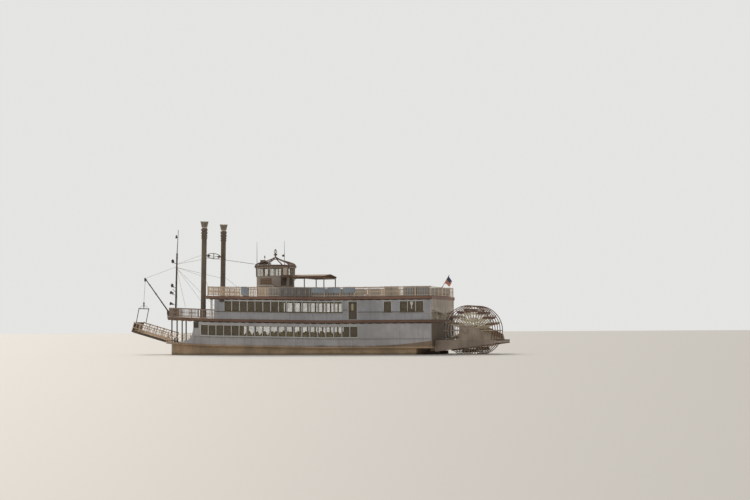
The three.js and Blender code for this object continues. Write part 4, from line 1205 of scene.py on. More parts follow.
@dataclass
class Gallery:
    """The open gallery across the stern: the boarded bulkhead inside it and its hanging boards."""

    bulkhead: float = AFT_X + 0.55
    half: float = 5.25
    ceiling: float = 5.75
    battens: int = 26
    batten_pitch: float = 0.416
    rails: Numbers = (0.5, 0.95)
    # The hanging boards' lower edge from port to starboard, and their upper end.
    arch: Rows = ((5.3, 5.3), (2.6, 5.06), (-0.4, 4.8), (-3.2, 5.1), (-5.3, 5.3))
    arch_head: float = 5.62
    strips: int = 25
    strip_pitch: float = 0.4333
    strip_head: float = 6.45

    def build(self) -> None:
        """Builds the bulkhead and the boards that hang in front of it."""
        dress(AFT_PLANKS, "upper_wall_aft")
        self.boards()
        self.skirt()

    def boards(self) -> None:
        """The bulkhead with its battens and rails."""
        form = Form()
        x, floor = self.bulkhead, DECK_TWO + 0.02
        form.block((x, -self.half, floor), (x + 0.04, self.half, self.ceiling))
        edge = self.half - 0.05
        for index in range(self.battens):
            y = index * self.batten_pitch - edge
            form.block((x - 0.02, y - 0.03, floor), (x, y + 0.03, self.ceiling))
        for level in self.rails:
            form.block((x - 0.05, -edge, DECK_TWO + level), (x, edge, DECK_TWO + level + 0.06))
        form.piece("gallery_bulkhead", GALLERY_BOARDS, "wood", 0.006)

    def arch_at(self, y: float) -> float:
        """The height of the hanging boards' lower edge at y.

        Args:
            y: the distance from the keel line, to port.

        Returns:
            The height, or the boards' head beyond their ends.
        """
        for (left, start), (right, end) in zip(self.arch, self.arch[1:]):
            if right - 0.001 <= y <= left + 0.001:
                return start + (end - start) * (y - left) / (right - left)
        return self.arch_head

    def skirt(self) -> None:
        """Hanging boards with a bead along their arched edge and strips over their seams."""
        form = Form()
        edge = self.arch[0][0]
        outline = [(edge, self.arch_head), *self.arch, (-edge, self.arch_head)]
        form.plate(outline, Plane.YZ, AFT_X - 0.035, AFT_X - 0.005)
        for low, high in zip(self.arch, self.arch[1:]):
            form.rod((AFT_X - 0.03, *low), (AFT_X - 0.03, *high), 0.035, sides=6)
        for index in range(self.strips):
            y = index * self.strip_pitch - 5.2
            form.block((AFT_X - 0.055, y - 0.03, self.arch_at(y)), (AFT_X - 0.03, y + 0.03, self.strip_head))
        form.piece("stern_skirt", AFT_PLANKS, "white", 0.004)


@dataclass
class Railings:
    """Pickets, caps and knobs on the rails of both upper decks."""

    pitch: float = 0.2
    half: float = 0.018
    low: float = 0.15
    high: float = 1.03
    swelling: Triple = (0.03, 0.5, 0.66)
    line: float = 5.345
    end_half: float = 5.1
    # Stretches of the side rails: their ends and the pickets' pitch.
    stretches: tuple[Triple, ...] = ((-16.3, -12.6, 0.2), (-12.5, -7.2, 0.1), (-7.0, 11.4, 0.2))
    # Rails across the ends of the top deck: where each stands and its pickets' pitch.
    ends: Rows = ((-16.445, 0.55), (11.545, 0.2))
    posts: tuple[float, int, float] = (-16.44, 14, 2.0)
    knob: float = 0.06
    knob_height: float = 1.15
    cap: float = 0.055
    cap_height: float = 1.11

    def picket(self, form: Form, x: float, y: float, floor: float, turn: float = 0.0) -> None:
        """One picket, with a swelling in its middle.

        Args:
            form: the mesh that it joins.
            x, y, floor: where it stands.
            turn: the rail's direction there.
        """
        place = placed(x, y, floor, turn)
        form.block((-self.half, -self.half, self.low), (self.half, self.half, self.high), place)
        half, low, high = self.swelling
        form.block((-half, -half, low), (half, half, high), place)

    def build(self) -> None:
        """Builds the pickets, caps and knobs."""
        dress(RAILING, *both("deck_three_rail"), "deck_three_rail_aft", "deck_three_rail_front")
        dress(SHADED_BOW_RAIL, *both("deck_two_rail"))
        self.pickets()
        self.bow()
        self.caps()

    def pickets(self) -> None:
        """The pickets along the top deck's sides and across its ends."""
        sides, ends = Form(), Form()
        for aft, front, pitch in self.stretches:
            for point, _ in spaced([(aft, self.line), (front, self.line)], pitch):
                self.picket(sides, point.x, point.y, 0.0)
        sides.sheer(DECK_THREE).mirrored().piece("deck_three_pickets", RAILING, "rail")
        for x, pitch in self.ends:
            for point, _ in spaced([(x, -self.end_half), (x, self.end_half)], pitch):
                self.picket(ends, point.x, point.y, DECK_THREE + rise(x))
        ends.piece("end_pickets", RAILING, "rail")

    def bow(self) -> None:
        """The pickets round the bow of deck two."""
        form = Form()
        for point, angle in spaced(deck_edge(1.3, 0.155, UPPER_FRONT + 0.1), self.pitch):
            for side in Side:
                y, turn = side.value * point.y, side.value * angle
                self.picket(form, point.x, y, DECK_TWO + rise(point.x), turn)
        form.piece("bow_pickets", SHADED_BOW_RAIL, "rail")

    def caps(self) -> None:
        """The cap along the top deck's side rails, with a knob on every post."""
        first, count, pitch = self.posts
        knobs, cap = Form(), Form()
        for index in range(count):
            knobs.ball((first + pitch * index, self.line, self.knob_height), self.knob, rings=4)
        knobs.sheer(DECK_THREE).mirrored().piece("rail_knobs", RAILING, "rail")
        path = [(x, self.line, self.cap_height) for x in (-16.44, -3.0, 11.54)]
        cap.tube(path, self.cap, 6, flat=0.6)
        # The cap takes the posts' dark brown paint: partly its own dark wood, partly painted shade along the
        # top of the rail.
        cap.sheer(DECK_THREE).mirrored().piece("rail_caps", POSTS, "rail")


@dataclass
class TopDeckSeats:
    """Slats and irons on the seats along the top deck, with its screens, boards and lockers.

    Heights in the tables are above the deck.
    """

    backs: Rows = ((-16.2, -13.05), (-12.4, -10.7), (-7.07, -5.7), (-5.07, -3.71), (-3.33, -0.47))
    back_levels: Numbers = (0.62, 0.8, 0.98)
    seat_rows: int = 4
    # The arm rest from the seat to the back: Y and height.
    arm: Rows = ((4.32, 0.5), (4.3, 0.72), (4.45, 0.76), (4.9, 0.74))
    screen: Span = (-1.73, 2.3)
    screen_pitch: float = 0.16
    # Boards on the rail: their two ends, their foot and their head.
    boards: tuple[tuple[float, float, float, float], ...] = (
        (-3.49, -1.82, 0.48, 1.1), (-5.36, -3.74, 0.48, 1.1), (-7.21, -5.72, 0.48, 1.06),
        (6.42, 7.19, 0.15, 1.16),
    )
    locker: tuple[Triple, Triple] = ((6.5, 4.5, 0.02), (7.15, 5.15, 1.0))
    lid: float = 0.06

    def build(self) -> None:
        """Builds the seats' slats and irons, the screen, the boards and the lockers."""
        dress(SEATS, *both("deck_seats"))
        self.seats()
        self.screens()
        self.lockers()

    def seats(self) -> None:
        """Slats on every seat and its back, with an arm rest and a stay at each end and between."""
        slats, irons = Form(), Form()
        for aft, front in self.backs:
            for level in self.back_levels:
                slats.block((aft - 0.03, 4.95, level), (front + 0.03, 4.985, level + 0.12))
            for row in range(self.seat_rows):
                y = 4.3 + 0.14 * row
                slats.block((aft - 0.02, y, 0.48), (front + 0.02, y + 0.11, 0.505))
            for x in (aft, (aft + front) / 2, front):
                irons.tube([(x, y, z) for y, z in self.arm], 0.022, 6)
                irons.rod((x, 4.995, 0.05), (x, 4.995, 1.2), 0.025)
        slats.sheer(DECK_THREE).mirrored().piece("seat_slats", SEATS, "seat", 0.01)
        irons.sheer(DECK_THREE).mirrored().piece("seat_irons", IRON, "iron")

    def screens(self) -> None:
        """The upright-boarded screen amidships and the boards hung on the rail."""
        screen, weather = Form(), Form()
        aft, front = self.screen
        for point, _ in spaced([(aft, 5.38), (front, 5.38)], self.screen_pitch):
            screen.block((point.x - 0.055, 5.37, 0.06), (point.x + 0.055, 5.39, 1.08))
        for level in (0.1, 0.98):
            screen.block((aft - 0.05, 5.385, level), (front + 0.05, 5.405, level + 0.08))
        screen.sheer(DECK_THREE).mirrored().piece("deck_screen", SCREEN, "seat")
        for aft, front, low, high in self.boards:
            weather.block((aft, 5.372, low), (front, 5.388, high))
            for x in (aft + 0.04, (aft + front) / 2, front - 0.04):
                weather.block((x - 0.03, 5.386, low), (x + 0.03, 5.4, high))
        weather.sheer(DECK_THREE).mirrored().piece("rail_boards", SEATS, "seat", 0.004)

    def lockers(self) -> None:
        """A locker on each side, with a lid that stands over."""
        form = Form()
        low, high = (Vector(corner) for corner in self.locker)
        form.block(low, high)
        over = Vector((0.04, 0.04, 0.0))
        form.block(Vector((low.x, low.y, high.z)) - over, high + over + Vector((0, 0, self.lid)))
        form.sheer(DECK_THREE).mirrored().piece("deck_lockers", SEATS, "seat", 0.03)


@dataclass
class Pilothouse:
    """The six-sided pilothouse: panels, window bars, glass, eave, open crown, hoods and stairs.

    Heights are above the deck, whose own height there is the floor's, and Y is across each flat.
    """

    x: float = 4.75
    floor: float = DECK_THREE + rise(7.15)
    base: float = 1.2
    sill: float = 2.56
    head: float = 3.54
    top: float = 3.66
    roof: float = 3.84
    low_radius: float = 2.33
    high_radius: float = 2.4
    eave_radius: float = 2.54
    crown_radius: float = 2.5
    window: float = 1.05
    cells: tuple[int, ...] = (3, 3, 4, 3, 4, 3)
    boarded: tuple[int, int] = (2, 4)
    panel_stiles: Numbers = (-1.1, -0.4, 0.34, 1.04)
    panel_rails: Numbers = (1.24, 2.38)
    base_battens: Numbers = (-1.1, -0.75, -0.4, -0.05, 0.3, 0.65, 1.04)
    # Door leaves: the flat that each is on and its two edges.
    leaves: tuple[tuple[int, float, float], ...] = (
        (2, 0.3, 0.98), (3, -0.58, -0.01), (3, 0.01, 0.58), (4, -0.98, -0.3),
    )
    pedestal: Rows = ((0, 1.18), (0.2, 1.2), (0.16, 1.3), (0.12, 2.0), (0.16, 2.4), (0, 2.42))
    # The crown's ribs: share of its radius and height above the roof, with their thickness.
    ribs: Rows = (
        (1.0, 0.0), (0.97, 0.13), (0.88, 0.26), (0.7, 0.41), (0.4, 0.61), (0.18, 0.82), (0.02, 1.07),
    )
    rib_radii: Numbers = (0.08, 0.078, 0.075, 0.072, 0.07, 0.062, 0.055)
    hoops: tuple[Triple, ...] = ((2.42, 0.01, 0.035), (0.5, 0.79, 0.03))
    louvres: Rows = ((0.985, 0.07), (0.97, 0.15), (0.93, 0.22), (0.86, 0.3))
    urn: Rows = (
        (0, 0.98), (0.13, 1.0), (0.09, 1.08), (0.08, 1.24), (0.17, 1.28), (0.24, 1.34), (0.24, 1.42),
        (0.16, 1.48), (0.06, 1.52), (0.0, 1.52),
    )
    loop_half: Rows = ((0, 1.52), (0.12, 1.57), (0.19, 1.68), (0.17, 1.8), (0.08, 1.94), (0, 2.05))
    # Fittings on the roof, from the middle of the roof.
    boxes: Boxes = (
        ((1.35, -0.5, 0.0), (1.95, 0.4, 0.28)), ((1.4, -0.4, 0.28), (1.9, 0.3, 0.72)),
    )
    aerials: tuple[Triple, ...] = ((-1.21, 0.1, 3.05), (2.36, 0.2, 3.0))
    horn: Rows = ((0, -0.25), (0.07, -0.22), (0.07, 0.1), (0.15, 0.36), (0.13, 0.37), (0, 0.28))
    aerial_ball: Rows = ((0, 1.08), (0.1, 1.1), (0.16, 1.18), (0.16, 1.27), (0.1, 1.35), (0, 1.37))
    # The stair and the landing on each side.
    treads: int = 5
    tread_first: float = 2.7
    tread_step: Span = (0.28, 0.24)
    side_y: float = 3.06
    landing: Span = (4.1, 5.93)
    curb: Rows = ((2.66, 0.48), (4.2, 1.33), (5.9, 1.33))
    curb_posts: tuple[Triple, ...] = (
        (2.72, -0.05, 0.5), (3.45, 0.7, 0.93), (4.2, 1.2, 1.33), (5.86, 1.2, 1.33),
    )
    screen_posts: Numbers = (4.2, 4.87, 5.54)
    # The hood over each quarter door: its top board and the three boards round it.
    hood_boards: Boxes = (
        ((2.08, 1.12, 2.49), (3.1, 2.6, 2.55)), ((2.06, 2.58, 2.26), (3.14, 2.64, 2.58)),
        ((2.06, 1.12, 2.26), (2.12, 2.6, 2.58)), ((3.06, 1.6, 2.26), (3.12, 2.6, 2.58)),
    )

    def apothem(self, height: float) -> float:
        """How far a flat's middle is from the axis at a height above the deck."""
        share = max(0.0, height - self.base) / (self.top - self.base)
        return math.cos(math.pi / 6) * (self.low_radius + (self.high_radius - self.low_radius) * share)

    def side(self, number: int) -> Matrix:
        """Places what is built with X outwards on one of the six flats; 0 faces the bow."""
        return placed(self.x, 0, self.floor, number * math.pi / 3)

    def corner(self, number: int, radius: float, height: float) -> Vector:
        """A point above the corner after a flat, at a height above the deck."""
        angle = (number + 0.5) * math.pi / 3
        return Vector((self.x + radius * math.cos(angle), radius * math.sin(angle), self.floor + height))

    def build(self) -> None:
        """Builds the panels, windows, eave, crown and fittings."""
        dress(PILOT_WALLS, "pilothouse_base", "pilothouse_walls")
        dress(CROWN, "pilothouse_roof", "roof_crown")
        self.panels()
        self.windows()
        self.doors()
        self.helm()
        self.eave()
        self.crown()
        self.fittings()
        self.stairs()
        self.landings()
        self.hoods()

    def panels(self) -> None:
        """Stiles, rails and battens on all six flats."""
        trim = Form()
        half, sill, head = self.window, self.sill, self.head
        face, low, base = (self.apothem(height) for height in (3.05, 1.9, 0.5))
        for place in (self.side(number) for number in range(6)):
            for left, right in ((-half - 0.05, -half), (half, half + 0.05)):
                trim.block((face - 0.03, left, sill - 0.05), (face + 0.035, right, head + 0.05), place)
            for foot, up in ((sill - 0.06, sill), (head, head + 0.05)):
                trim.block((face - 0.03, -half, foot), (face + 0.045, half, up), place)
            for y in self.panel_stiles:
                trim.block((low - 0.04, y, 1.3), (low + 0.03, y + 0.06, 2.4), place)
            for z in self.panel_rails:
                trim.block((low - 0.04, -1.12, z), (low + 0.045, 1.12, z + 0.07), place)
            for y in self.base_battens:
                trim.block((base - 0.03, y, 0.02), (base + 0.03, y + 0.04, 1.14), place)
            trim.block((base - 0.03, -1.14, 1.1), (base + 0.05, 1.14, 1.2), place)
        trim.piece("pilothouse_panels", PILOT_WALLS, "white", 0.008)

    def windows(self) -> None:
        """Dark bars and corner posts, clear panes, and one boarded cell on each aft quarter."""
        bars, glass, boards = Form(), Form(), Form()
        face, half, sill, head = self.apothem(3.05), self.window, self.sill, self.head
        for number, cells in enumerate(self.cells):
            place, pitch = self.side(number), 2 * half / cells
            for y in (index * pitch - half for index in range(1, cells)):
                bars.block((face - 0.05, y - 0.05, sill), (face + 0.01, y + 0.05, head), place)
            bars.block((face - 0.05, -half, head - 0.03), (face, half, head), place)
            bars.rod(self.corner(number, 2.375, sill - 0.1), self.corner(number, 2.4, head + 0.1), 0.06)
            glass.block((face - 0.035, -half, sill), (face - 0.025, half, head), place)
            if number in self.boarded:
                y = half - pitch if number == self.boarded[0] else -half
                boards.block((face - 0.045, y, sill), (face - 0.01, y + pitch, head), place)
        bars.piece("pilothouse_bars", SASHES, "white", 0.006)
        glass.piece("pilothouse_glass", PILOT_GLASS, "white")
        boards.piece("pilothouse_window_boards", PALE_PANELS, "white", 0.006)

    def doors(self) -> None:
        """Doors on the aft quarters and the aft flat."""
        doors = Form()
        face, low = self.apothem(1.8), self.base + 0.03
        for number, left, right in self.leaves:
            place = self.side(number)
            doors.block((face - 0.03, left, low), (face + 0.045, right, low + 1.13), place)
            for z in (low + 0.11, low + 0.62):
                doors.block((face + 0.04, left + 0.1, z), (face + 0.065, right - 0.1, z + 0.42), place)
            doors.ball(place @ Vector((face + 0.09, right - 0.07, low + 0.57)), 0.035)
        doors.piece("pilothouse_doors", DARK_DOORS, "door", 0.01)

    def helm(self) -> None:
        """The steering wheel and its pedestal."""
        helm = Form()
        middle = placed(self.x + 0.9, 0, self.floor + 2.35, math.pi / 2, "Y")
        helm.tube([middle @ spot for spot in circle(0.52, 20)], 0.035, 6, closed=True)
        for spot in circle(0.66, 8):
            helm.rod(middle @ Vector((0, 0, 0)), middle @ spot, 0.025, 0.02, 6)
        helm.turned(self.pedestal, placed(self.x + 1.05, 0, self.floor), 12)
        helm.piece("helm", BOOTHS, "wood")

    def eave(self) -> None:
        """Nosing and knobs round the eave."""
        form = Form()
        corners = [self.corner(number, self.eave_radius, self.top + 0.05) for number in range(6)]
        form.tube(corners, 0.045, closed=True)
        form.tube([spot + Vector((0, 0, 0.1)) for spot in corners], 0.035, closed=True)
        for spot in corners:
            form.ball(spot, 0.11, rings=5)
            form.rod(spot - Vector((0, 0, 0.24)), spot, 0.025, 0.07)
        form.piece("pilothouse_eave", CROWN, "trim")

    def crown(self) -> None:
        """Ribs, hoops, louvres and finial of the open crown."""
        form = Form()
        place = placed(self.x, 0, self.floor + self.roof)
        for radius, height, thick in self.hoops:
            ring = [place @ (spot + Vector((0, 0, height))) for spot in circle(radius, 24)]
            form.tube(ring, thick, 6, closed=True)

        def spot(number: int, share: float, height: float) -> Vector:
            """A point of the crown above a corner."""
            return self.corner(number, self.crown_radius * share, self.roof + height)

        for number in range(6):
            form.tube([spot(number, *row) for row in self.ribs], self.rib_radii, 6)
        for number in (2, 5):
            for row in self.louvres:
                form.rod(spot(number, *row), spot(number + 1, *row), 0.035, sides=6)
        form.turned(self.urn, place, 16)
        for turn in (0.0, math.pi / 2):
            spin = place @ Matrix.Rotation(turn, 4, "Z")
            drop = [*self.loop_half, *((-r, h) for r, h in reversed(self.loop_half[1:-1]))]
            form.tube([spin @ Vector((r, 0, h)) for r, h in drop], 0.03, 6, closed=True)
        form.ball(place @ Vector((0, 0, self.loop_half[-1][1])), 0.04, rings=4)
        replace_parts(form.piece("crown_ribs_and_finial", CROWN, "trim"), "roof_crown")

    def fittings(self) -> None:
        """The equipment boxes, dome, beacon, horn and aerials on the roof."""
        form = Form()
        for low, high in self.boxes:
            form.block(low, high)
        form.ball((1.05, 0.2, 0.4), 0.2, (1.3, 1.3, 0.75))
        form.rod((1.05, 0.2, 0.0), (1.05, 0.2, 0.3), 0.06)
        form.rod((1.37, 0.1, 0.3), (1.37, 0.1, 1.0), 0.025)
        form.rod((1.37, 0.1, 0.98), (1.37, 0.1, 1.25), 0.075, 0.06, 10)
        form.rod((0.5, 0.9, 0.0), (0.5, 0.9, 0.22), 0.04)
        form.turned(self.horn, placed(0.45, 0.9, 0.22, math.radians(80), "Y"), 14)
        for x, y, high in self.aerials:
            form.rod((x, y, -0.05), (x, y, high / 2), 0.035, 0.028)
            form.rod((x, y, high / 2), (x, y, high), 0.028, 0.014)
        form.turned(self.aerial_ball, placed(-1.06, 0.1, 0.0), 12)
        place = placed(self.x, 0, self.floor + self.roof)
        form.moved(place).piece("roof_fittings", IRON, "iron", 0.01)

    def stairs(self) -> None:
        """Treads on each side's stair and landing, with a pale curb along them."""
        treads, curb = Form(), Form()
        along, up = self.tread_step
        for step in range(self.treads):
            x, z = self.tread_first + along * step, up * (step + 1)
            treads.block((x - 0.03, 1.5, z - 0.03), (x + 0.3, 3.08, z + 0.012))
        treads.block((self.landing[0], 1.6, 1.17), (self.landing[1], 3.08, 1.212))
        lift = placed(0, 0, self.floor)
        treads.moved(lift).mirrored().piece("pilothouse_treads", PLANKS, "wood", 0.006)
        curb.tube([(x, self.side_y, z) for x, z in self.curb], 0.05)
        for x, low, high in self.curb_posts:
            curb.rod((x, self.side_y, low), (x, self.side_y, high), 0.03)
        curb.moved(lift).mirrored().piece("pilothouse_stair_curb", WHITE_TRIM, "white")

    def landings(self) -> None:
        """Panels below each side's landing and a slatted screen on it."""
        panels, screen = Form(), Form()
        aft, side, lift = self.landing[0] + 0.05, self.side_y, placed(0, 0, self.floor)
        panels.block((aft, side - 0.02, -0.12), (5.88, side + 0.005, 1.14))
        for index in range(7):
            x = aft + index * 0.281
            panels.block((x, side, -0.12), (x + 0.045, side + 0.025, 1.14))
        panels.moved(lift).mirrored().piece("landing_panels", PALE_PANELS, "white", 0.006)
        for x in self.screen_posts:
            screen.block((x - 0.03, side - 0.1, 1.2), (x + 0.03, side - 0.04, 2.24))
        for index in range(4):
            z = 1.47 + 0.19 * index
            screen.block((aft, side - 0.045, z), (5.6, side - 0.02, z + 0.17))
        screen.moved(lift).mirrored().piece("landing_screen", SCREEN_BOARDS, "wood", 0.008)

    def hoods(self) -> None:
        """Deep boards round the hood over each quarter door, with its brackets."""
        hood = Form()
        for low, high in self.hood_boards:
            hood.block(low, high)
        for x in (2.85, 3.0):
            hood.rod((x, 1.4, 1.95), (x, 2.3, 2.34), 0.03)
        hood.moved(placed(0, 0, self.floor)).mirrored().piece("side_hoods", HOODS, "trim", 0.01)


@dataclass
class Awning:
    """The canvas over the top deck, stretched on its frame."""

    aft: float = -2.4
    front: float = 2.1
    half: float = 2.35
    under: float = DECK_THREE + rise(2.1) + 2.34
    depth: float = 0.18
    crown: float = 0.26
    bays: int = 3
    sag: float = 0.03
    hem: float = 0.93
    grid: tuple[int, int] = (27, 28)
    thickness: float = 0.006
    # What the flat cloth has beyond the frame's width, for its rise to the ridge and its edges.
    spare_width: float = 0.7
    bows: Numbers = (-2.28, -0.75, 0.22, 1.9)
    bow_foot: float = 2.3
    posts: Span = (-2.28, 0.22)
    post_y: float = 2.23
    post_foot: Rows = ((0, 0), (0.13, 0), (0.13, 0.03), (0.075, 0.06), (0, 0.06))

    def build(self) -> None:
        """Builds the canvas, its hem, its bows and the posts' feet."""
        dress(POSTS, "awning_frame")
        canvas = self.canvas()
        edge = self.edging()
        length, width = self.front - self.aft, 2 * self.half
        length * SCALE
        (width + self.spare_width) * SCALE
        self.bars()

    def surface(self, along: float, across: float) -> Vector:
        """A point of the stretched cloth.

        Args:
            along: the share of its length from aft.
            across: the share of its half width, from -1 to 1.

        Returns:
            The point, sagging a little between the bows and turned down at the hem.
        """
        ridge = 1 - abs(across)
        wave = math.sin(self.bays * math.pi * along) ** 2
        sag = wave * self.sag * (1 - abs(2 * ridge - 1))
        slack = 0.1 * wave * max(0.0, abs(across) - 0.9)
        drop = self.depth * 0.9 * max(0.0, (abs(across) - self.hem) / (1 - self.hem))
        return Vector((
            self.aft + along * (self.front - self.aft), across * self.half * min(1.0, 0.985 + 0.015 * ridge),
            self.under + self.depth + self.crown * min(1.0, ridge * 1.02) - sag - drop - slack,
        ))

    def canvas(self) -> bpy.types.Object:
        """The cloth itself, with its UV map in metres of the model.

        Returns:
            The cloth's object.
        """
        form = Form()
        bmesh.ops.create_grid(form.mesh, x_segments=self.grid[0], y_segments=self.grid[1], size=0.5)
        layer = form.mesh.loops.layers.uv.new("weave")
        for vertex in form.mesh.verts:
            vertex.co = self.surface(vertex.co.x + 0.5, vertex.co.y * 2)
        for loop in (loop for face in form.mesh.faces for loop in face.loops):
            loop[layer].uv = ((loop.vert.co.x - self.aft) * SCALE, (loop.vert.co.y + self.half) * SCALE)
        canvas = form.piece("awning_canvas", AWNING_CLOTH, "canvas", smooth=60.0)
        thick = canvas.modifiers.new("thickness", "SOLIDIFY")
        thick.thickness = self.thickness
        thick.offset = -1.0
        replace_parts(canvas, "awning_cover")
        return canvas

    def edging(self) -> bpy.types.Object:
        """The hem along both sides and the rolled ends.

        Returns:
            The hem's object.
        """
        hem = Form()
        ridge = self.under + self.depth + self.crown - 0.03
        for y in (self.half - 0.045, -self.half + 0.045):
            hem.block((self.aft, y - 0.025, self.under + 0.005), (self.front, y + 0.025, self.under + 0.165))
        for x in (self.aft + 0.03, self.front - 0.03):
            foot = self.under + 0.16
            hem.tube([(x, -self.half, foot), (x, 0, ridge), (x, self.half, foot)], 0.035)
        return hem.piece("awning_hem", HEM_CLOTH, "canvas")

    def bars(self) -> None:
        """The bows and the ridge bar under the cloth, with the posts' feet and stays."""
        bows = Form()
        high = self.under + self.depth + self.crown - 0.06
        for x in self.bows:
            for y in (-self.bow_foot, self.bow_foot):
                bows.rod((x, y, self.under + 0.1), (x, 0, high), 0.025)
        for x in self.posts:
            for y in (-self.post_y, self.post_y):
                bows.turned(self.post_foot, placed(x, y, DECK_THREE + rise(x)), 12)
                bows.rod((x, y, self.under - 0.12), (x + 0.3, y, self.under + 0.06), 0.02, sides=6)
        bows.rod((-2.3, 0, high), (2.0, 0, high), 0.03)
        bows.piece("awning_bows", POSTS, "iron")


@dataclass
class Chimneys:
    """The paired chimneys with turned collars and a crown of leaves, and the tie between them.

    The profiles' rows are radius and height above the chimney's foot.
    """

    x: float = 13.07
    y: float = 3.15
    lean: float = math.radians(0.95)
    foot: float = DECK_TWO + rise(13.07)
    pipe: Rows = (
        (0, 0.03), (0.44, 0.03), (0.44, 0.1), (0.38, 0.14), (0.345, 0.2), (0.345, 0.9), (0.335, 0.94),
        (0.315, 0.98), (0.312, 9.7), (0.33, 9.73), (0.37, 9.85), (0.37, 9.92), (0.325, 9.98),
        (0.325, 10.02), (0.38, 10.08), (0.385, 10.17), (0.33, 10.24), (0.325, 10.32), (0.385, 10.38),
        (0.4, 10.48), (0.385, 10.56), (0.32, 10.62), (0.36, 10.7), (0.4, 10.84), (0.385, 11.0),
        (0.3, 11.06), (0.0, 11.07),
    )
    bands: Numbers = (2.6, 4.3, 6.0, 7.7)
    neck: Rows = ((0.2, 11.0), (0.3, 11.05), (0.295, 11.2), (0.33, 11.26), (0.2, 11.28))
    leaves: int = 12
    leaf: Rows = ((0.28, 11.2), (0.31, 11.45), (0.36, 11.66), (0.42, 11.82), (0.475, 11.9))
    leaf_radii: Numbers = (0.075, 0.085, 0.09, 0.07, 0.03)
    cup: Rows = ((0.2, 11.2), (0.3, 11.22), (0.34, 11.6), (0.3, 11.6), (0.2, 11.26))
    tie_z: float = 12.23
    tie_cone: Rows = ((0.0, 0.0), (0.15, 0.03), (0.15, 0.12), (0.05, 0.5), (0.0, 0.52))
    tie_oval: Span = (2.2, 0.33)
    tie_middle: Rows = ((0, -0.3), (0.07, -0.26), (0.03, -0.1), (0.03, 0.1), (0.07, 0.26), (0, 0.3))

    def build(self) -> None:
        """Builds both chimneys and the tie's knobs."""
        dress(IRON, "chimney_tie")
        for side in Side:
            place = placed(self.x, side.value * self.y, self.foot, -self.lean, "Y")
            self.chimney(side, place)
        self.tie()

    def chimney(self, side: Side, place: Matrix) -> None:
        """One chimney's pipe, neck and crown, at the place of its foot.

        Args:
            side: the side that it stands on.
            place: where its foot and axis are.
        """
        pipe, neck, leaves = Form(), Form(), Form()
        pipe.turned(self.pipe, place, 32)
        for level in self.bands:
            ring = [place @ (spot + Vector((0, 0, level))) for spot in circle(0.318, 24)]
            pipe.tube(ring, 0.016, 6, closed=True)
        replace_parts(pipe.piece(f"chimney_pipe_{side.word}", STACK, "stack"), f"chimney_{side.word}")
        neck.turned(self.neck, place, 24)
        neck.piece(f"chimney_neck_{side.word}", PALE_STACK, "stack")
        for number in range(self.leaves):
            turn = place @ Matrix.Rotation(number * math.tau / self.leaves, 4, "Z")
            leaves.tube([turn @ Vector((r, 0, h)) for r, h in self.leaf], self.leaf_radii, 6)
        leaves.turned(self.cup, place, 24)
        leaves.piece(f"chimney_crown_{side.word}", LEAVES, "stack")

    def tie(self) -> None:
        """Knobs and ends on the oval tie, and the turned bar in its middle."""
        z = self.tie_z
        x = self.x - math.tan(self.lean) * (z - self.foot)
        half, tall = self.tie_oval
        form = Form()
        for side in (1, -1):
            form.tube([(x, side * y, z) for y in (2.2, 2.5, 2.8)], [0.02, 0.06, 0.03])
            form.ball((x, side * 2.5, z), 0.07)
            form.turned(self.tie_cone, placed(x, side * 1.7, z, side * math.pi / 2, "X"), 10)
        for angle in (index * math.pi / 4 for index in range(8)):
            form.ball((x, half * math.cos(angle), z + tall * math.sin(angle)), 0.045, rings=4)
        form.turned(self.tie_middle, placed(x, 0, z), 10)
        form.piece("chimney_tie_knobs", IRON, "iron")


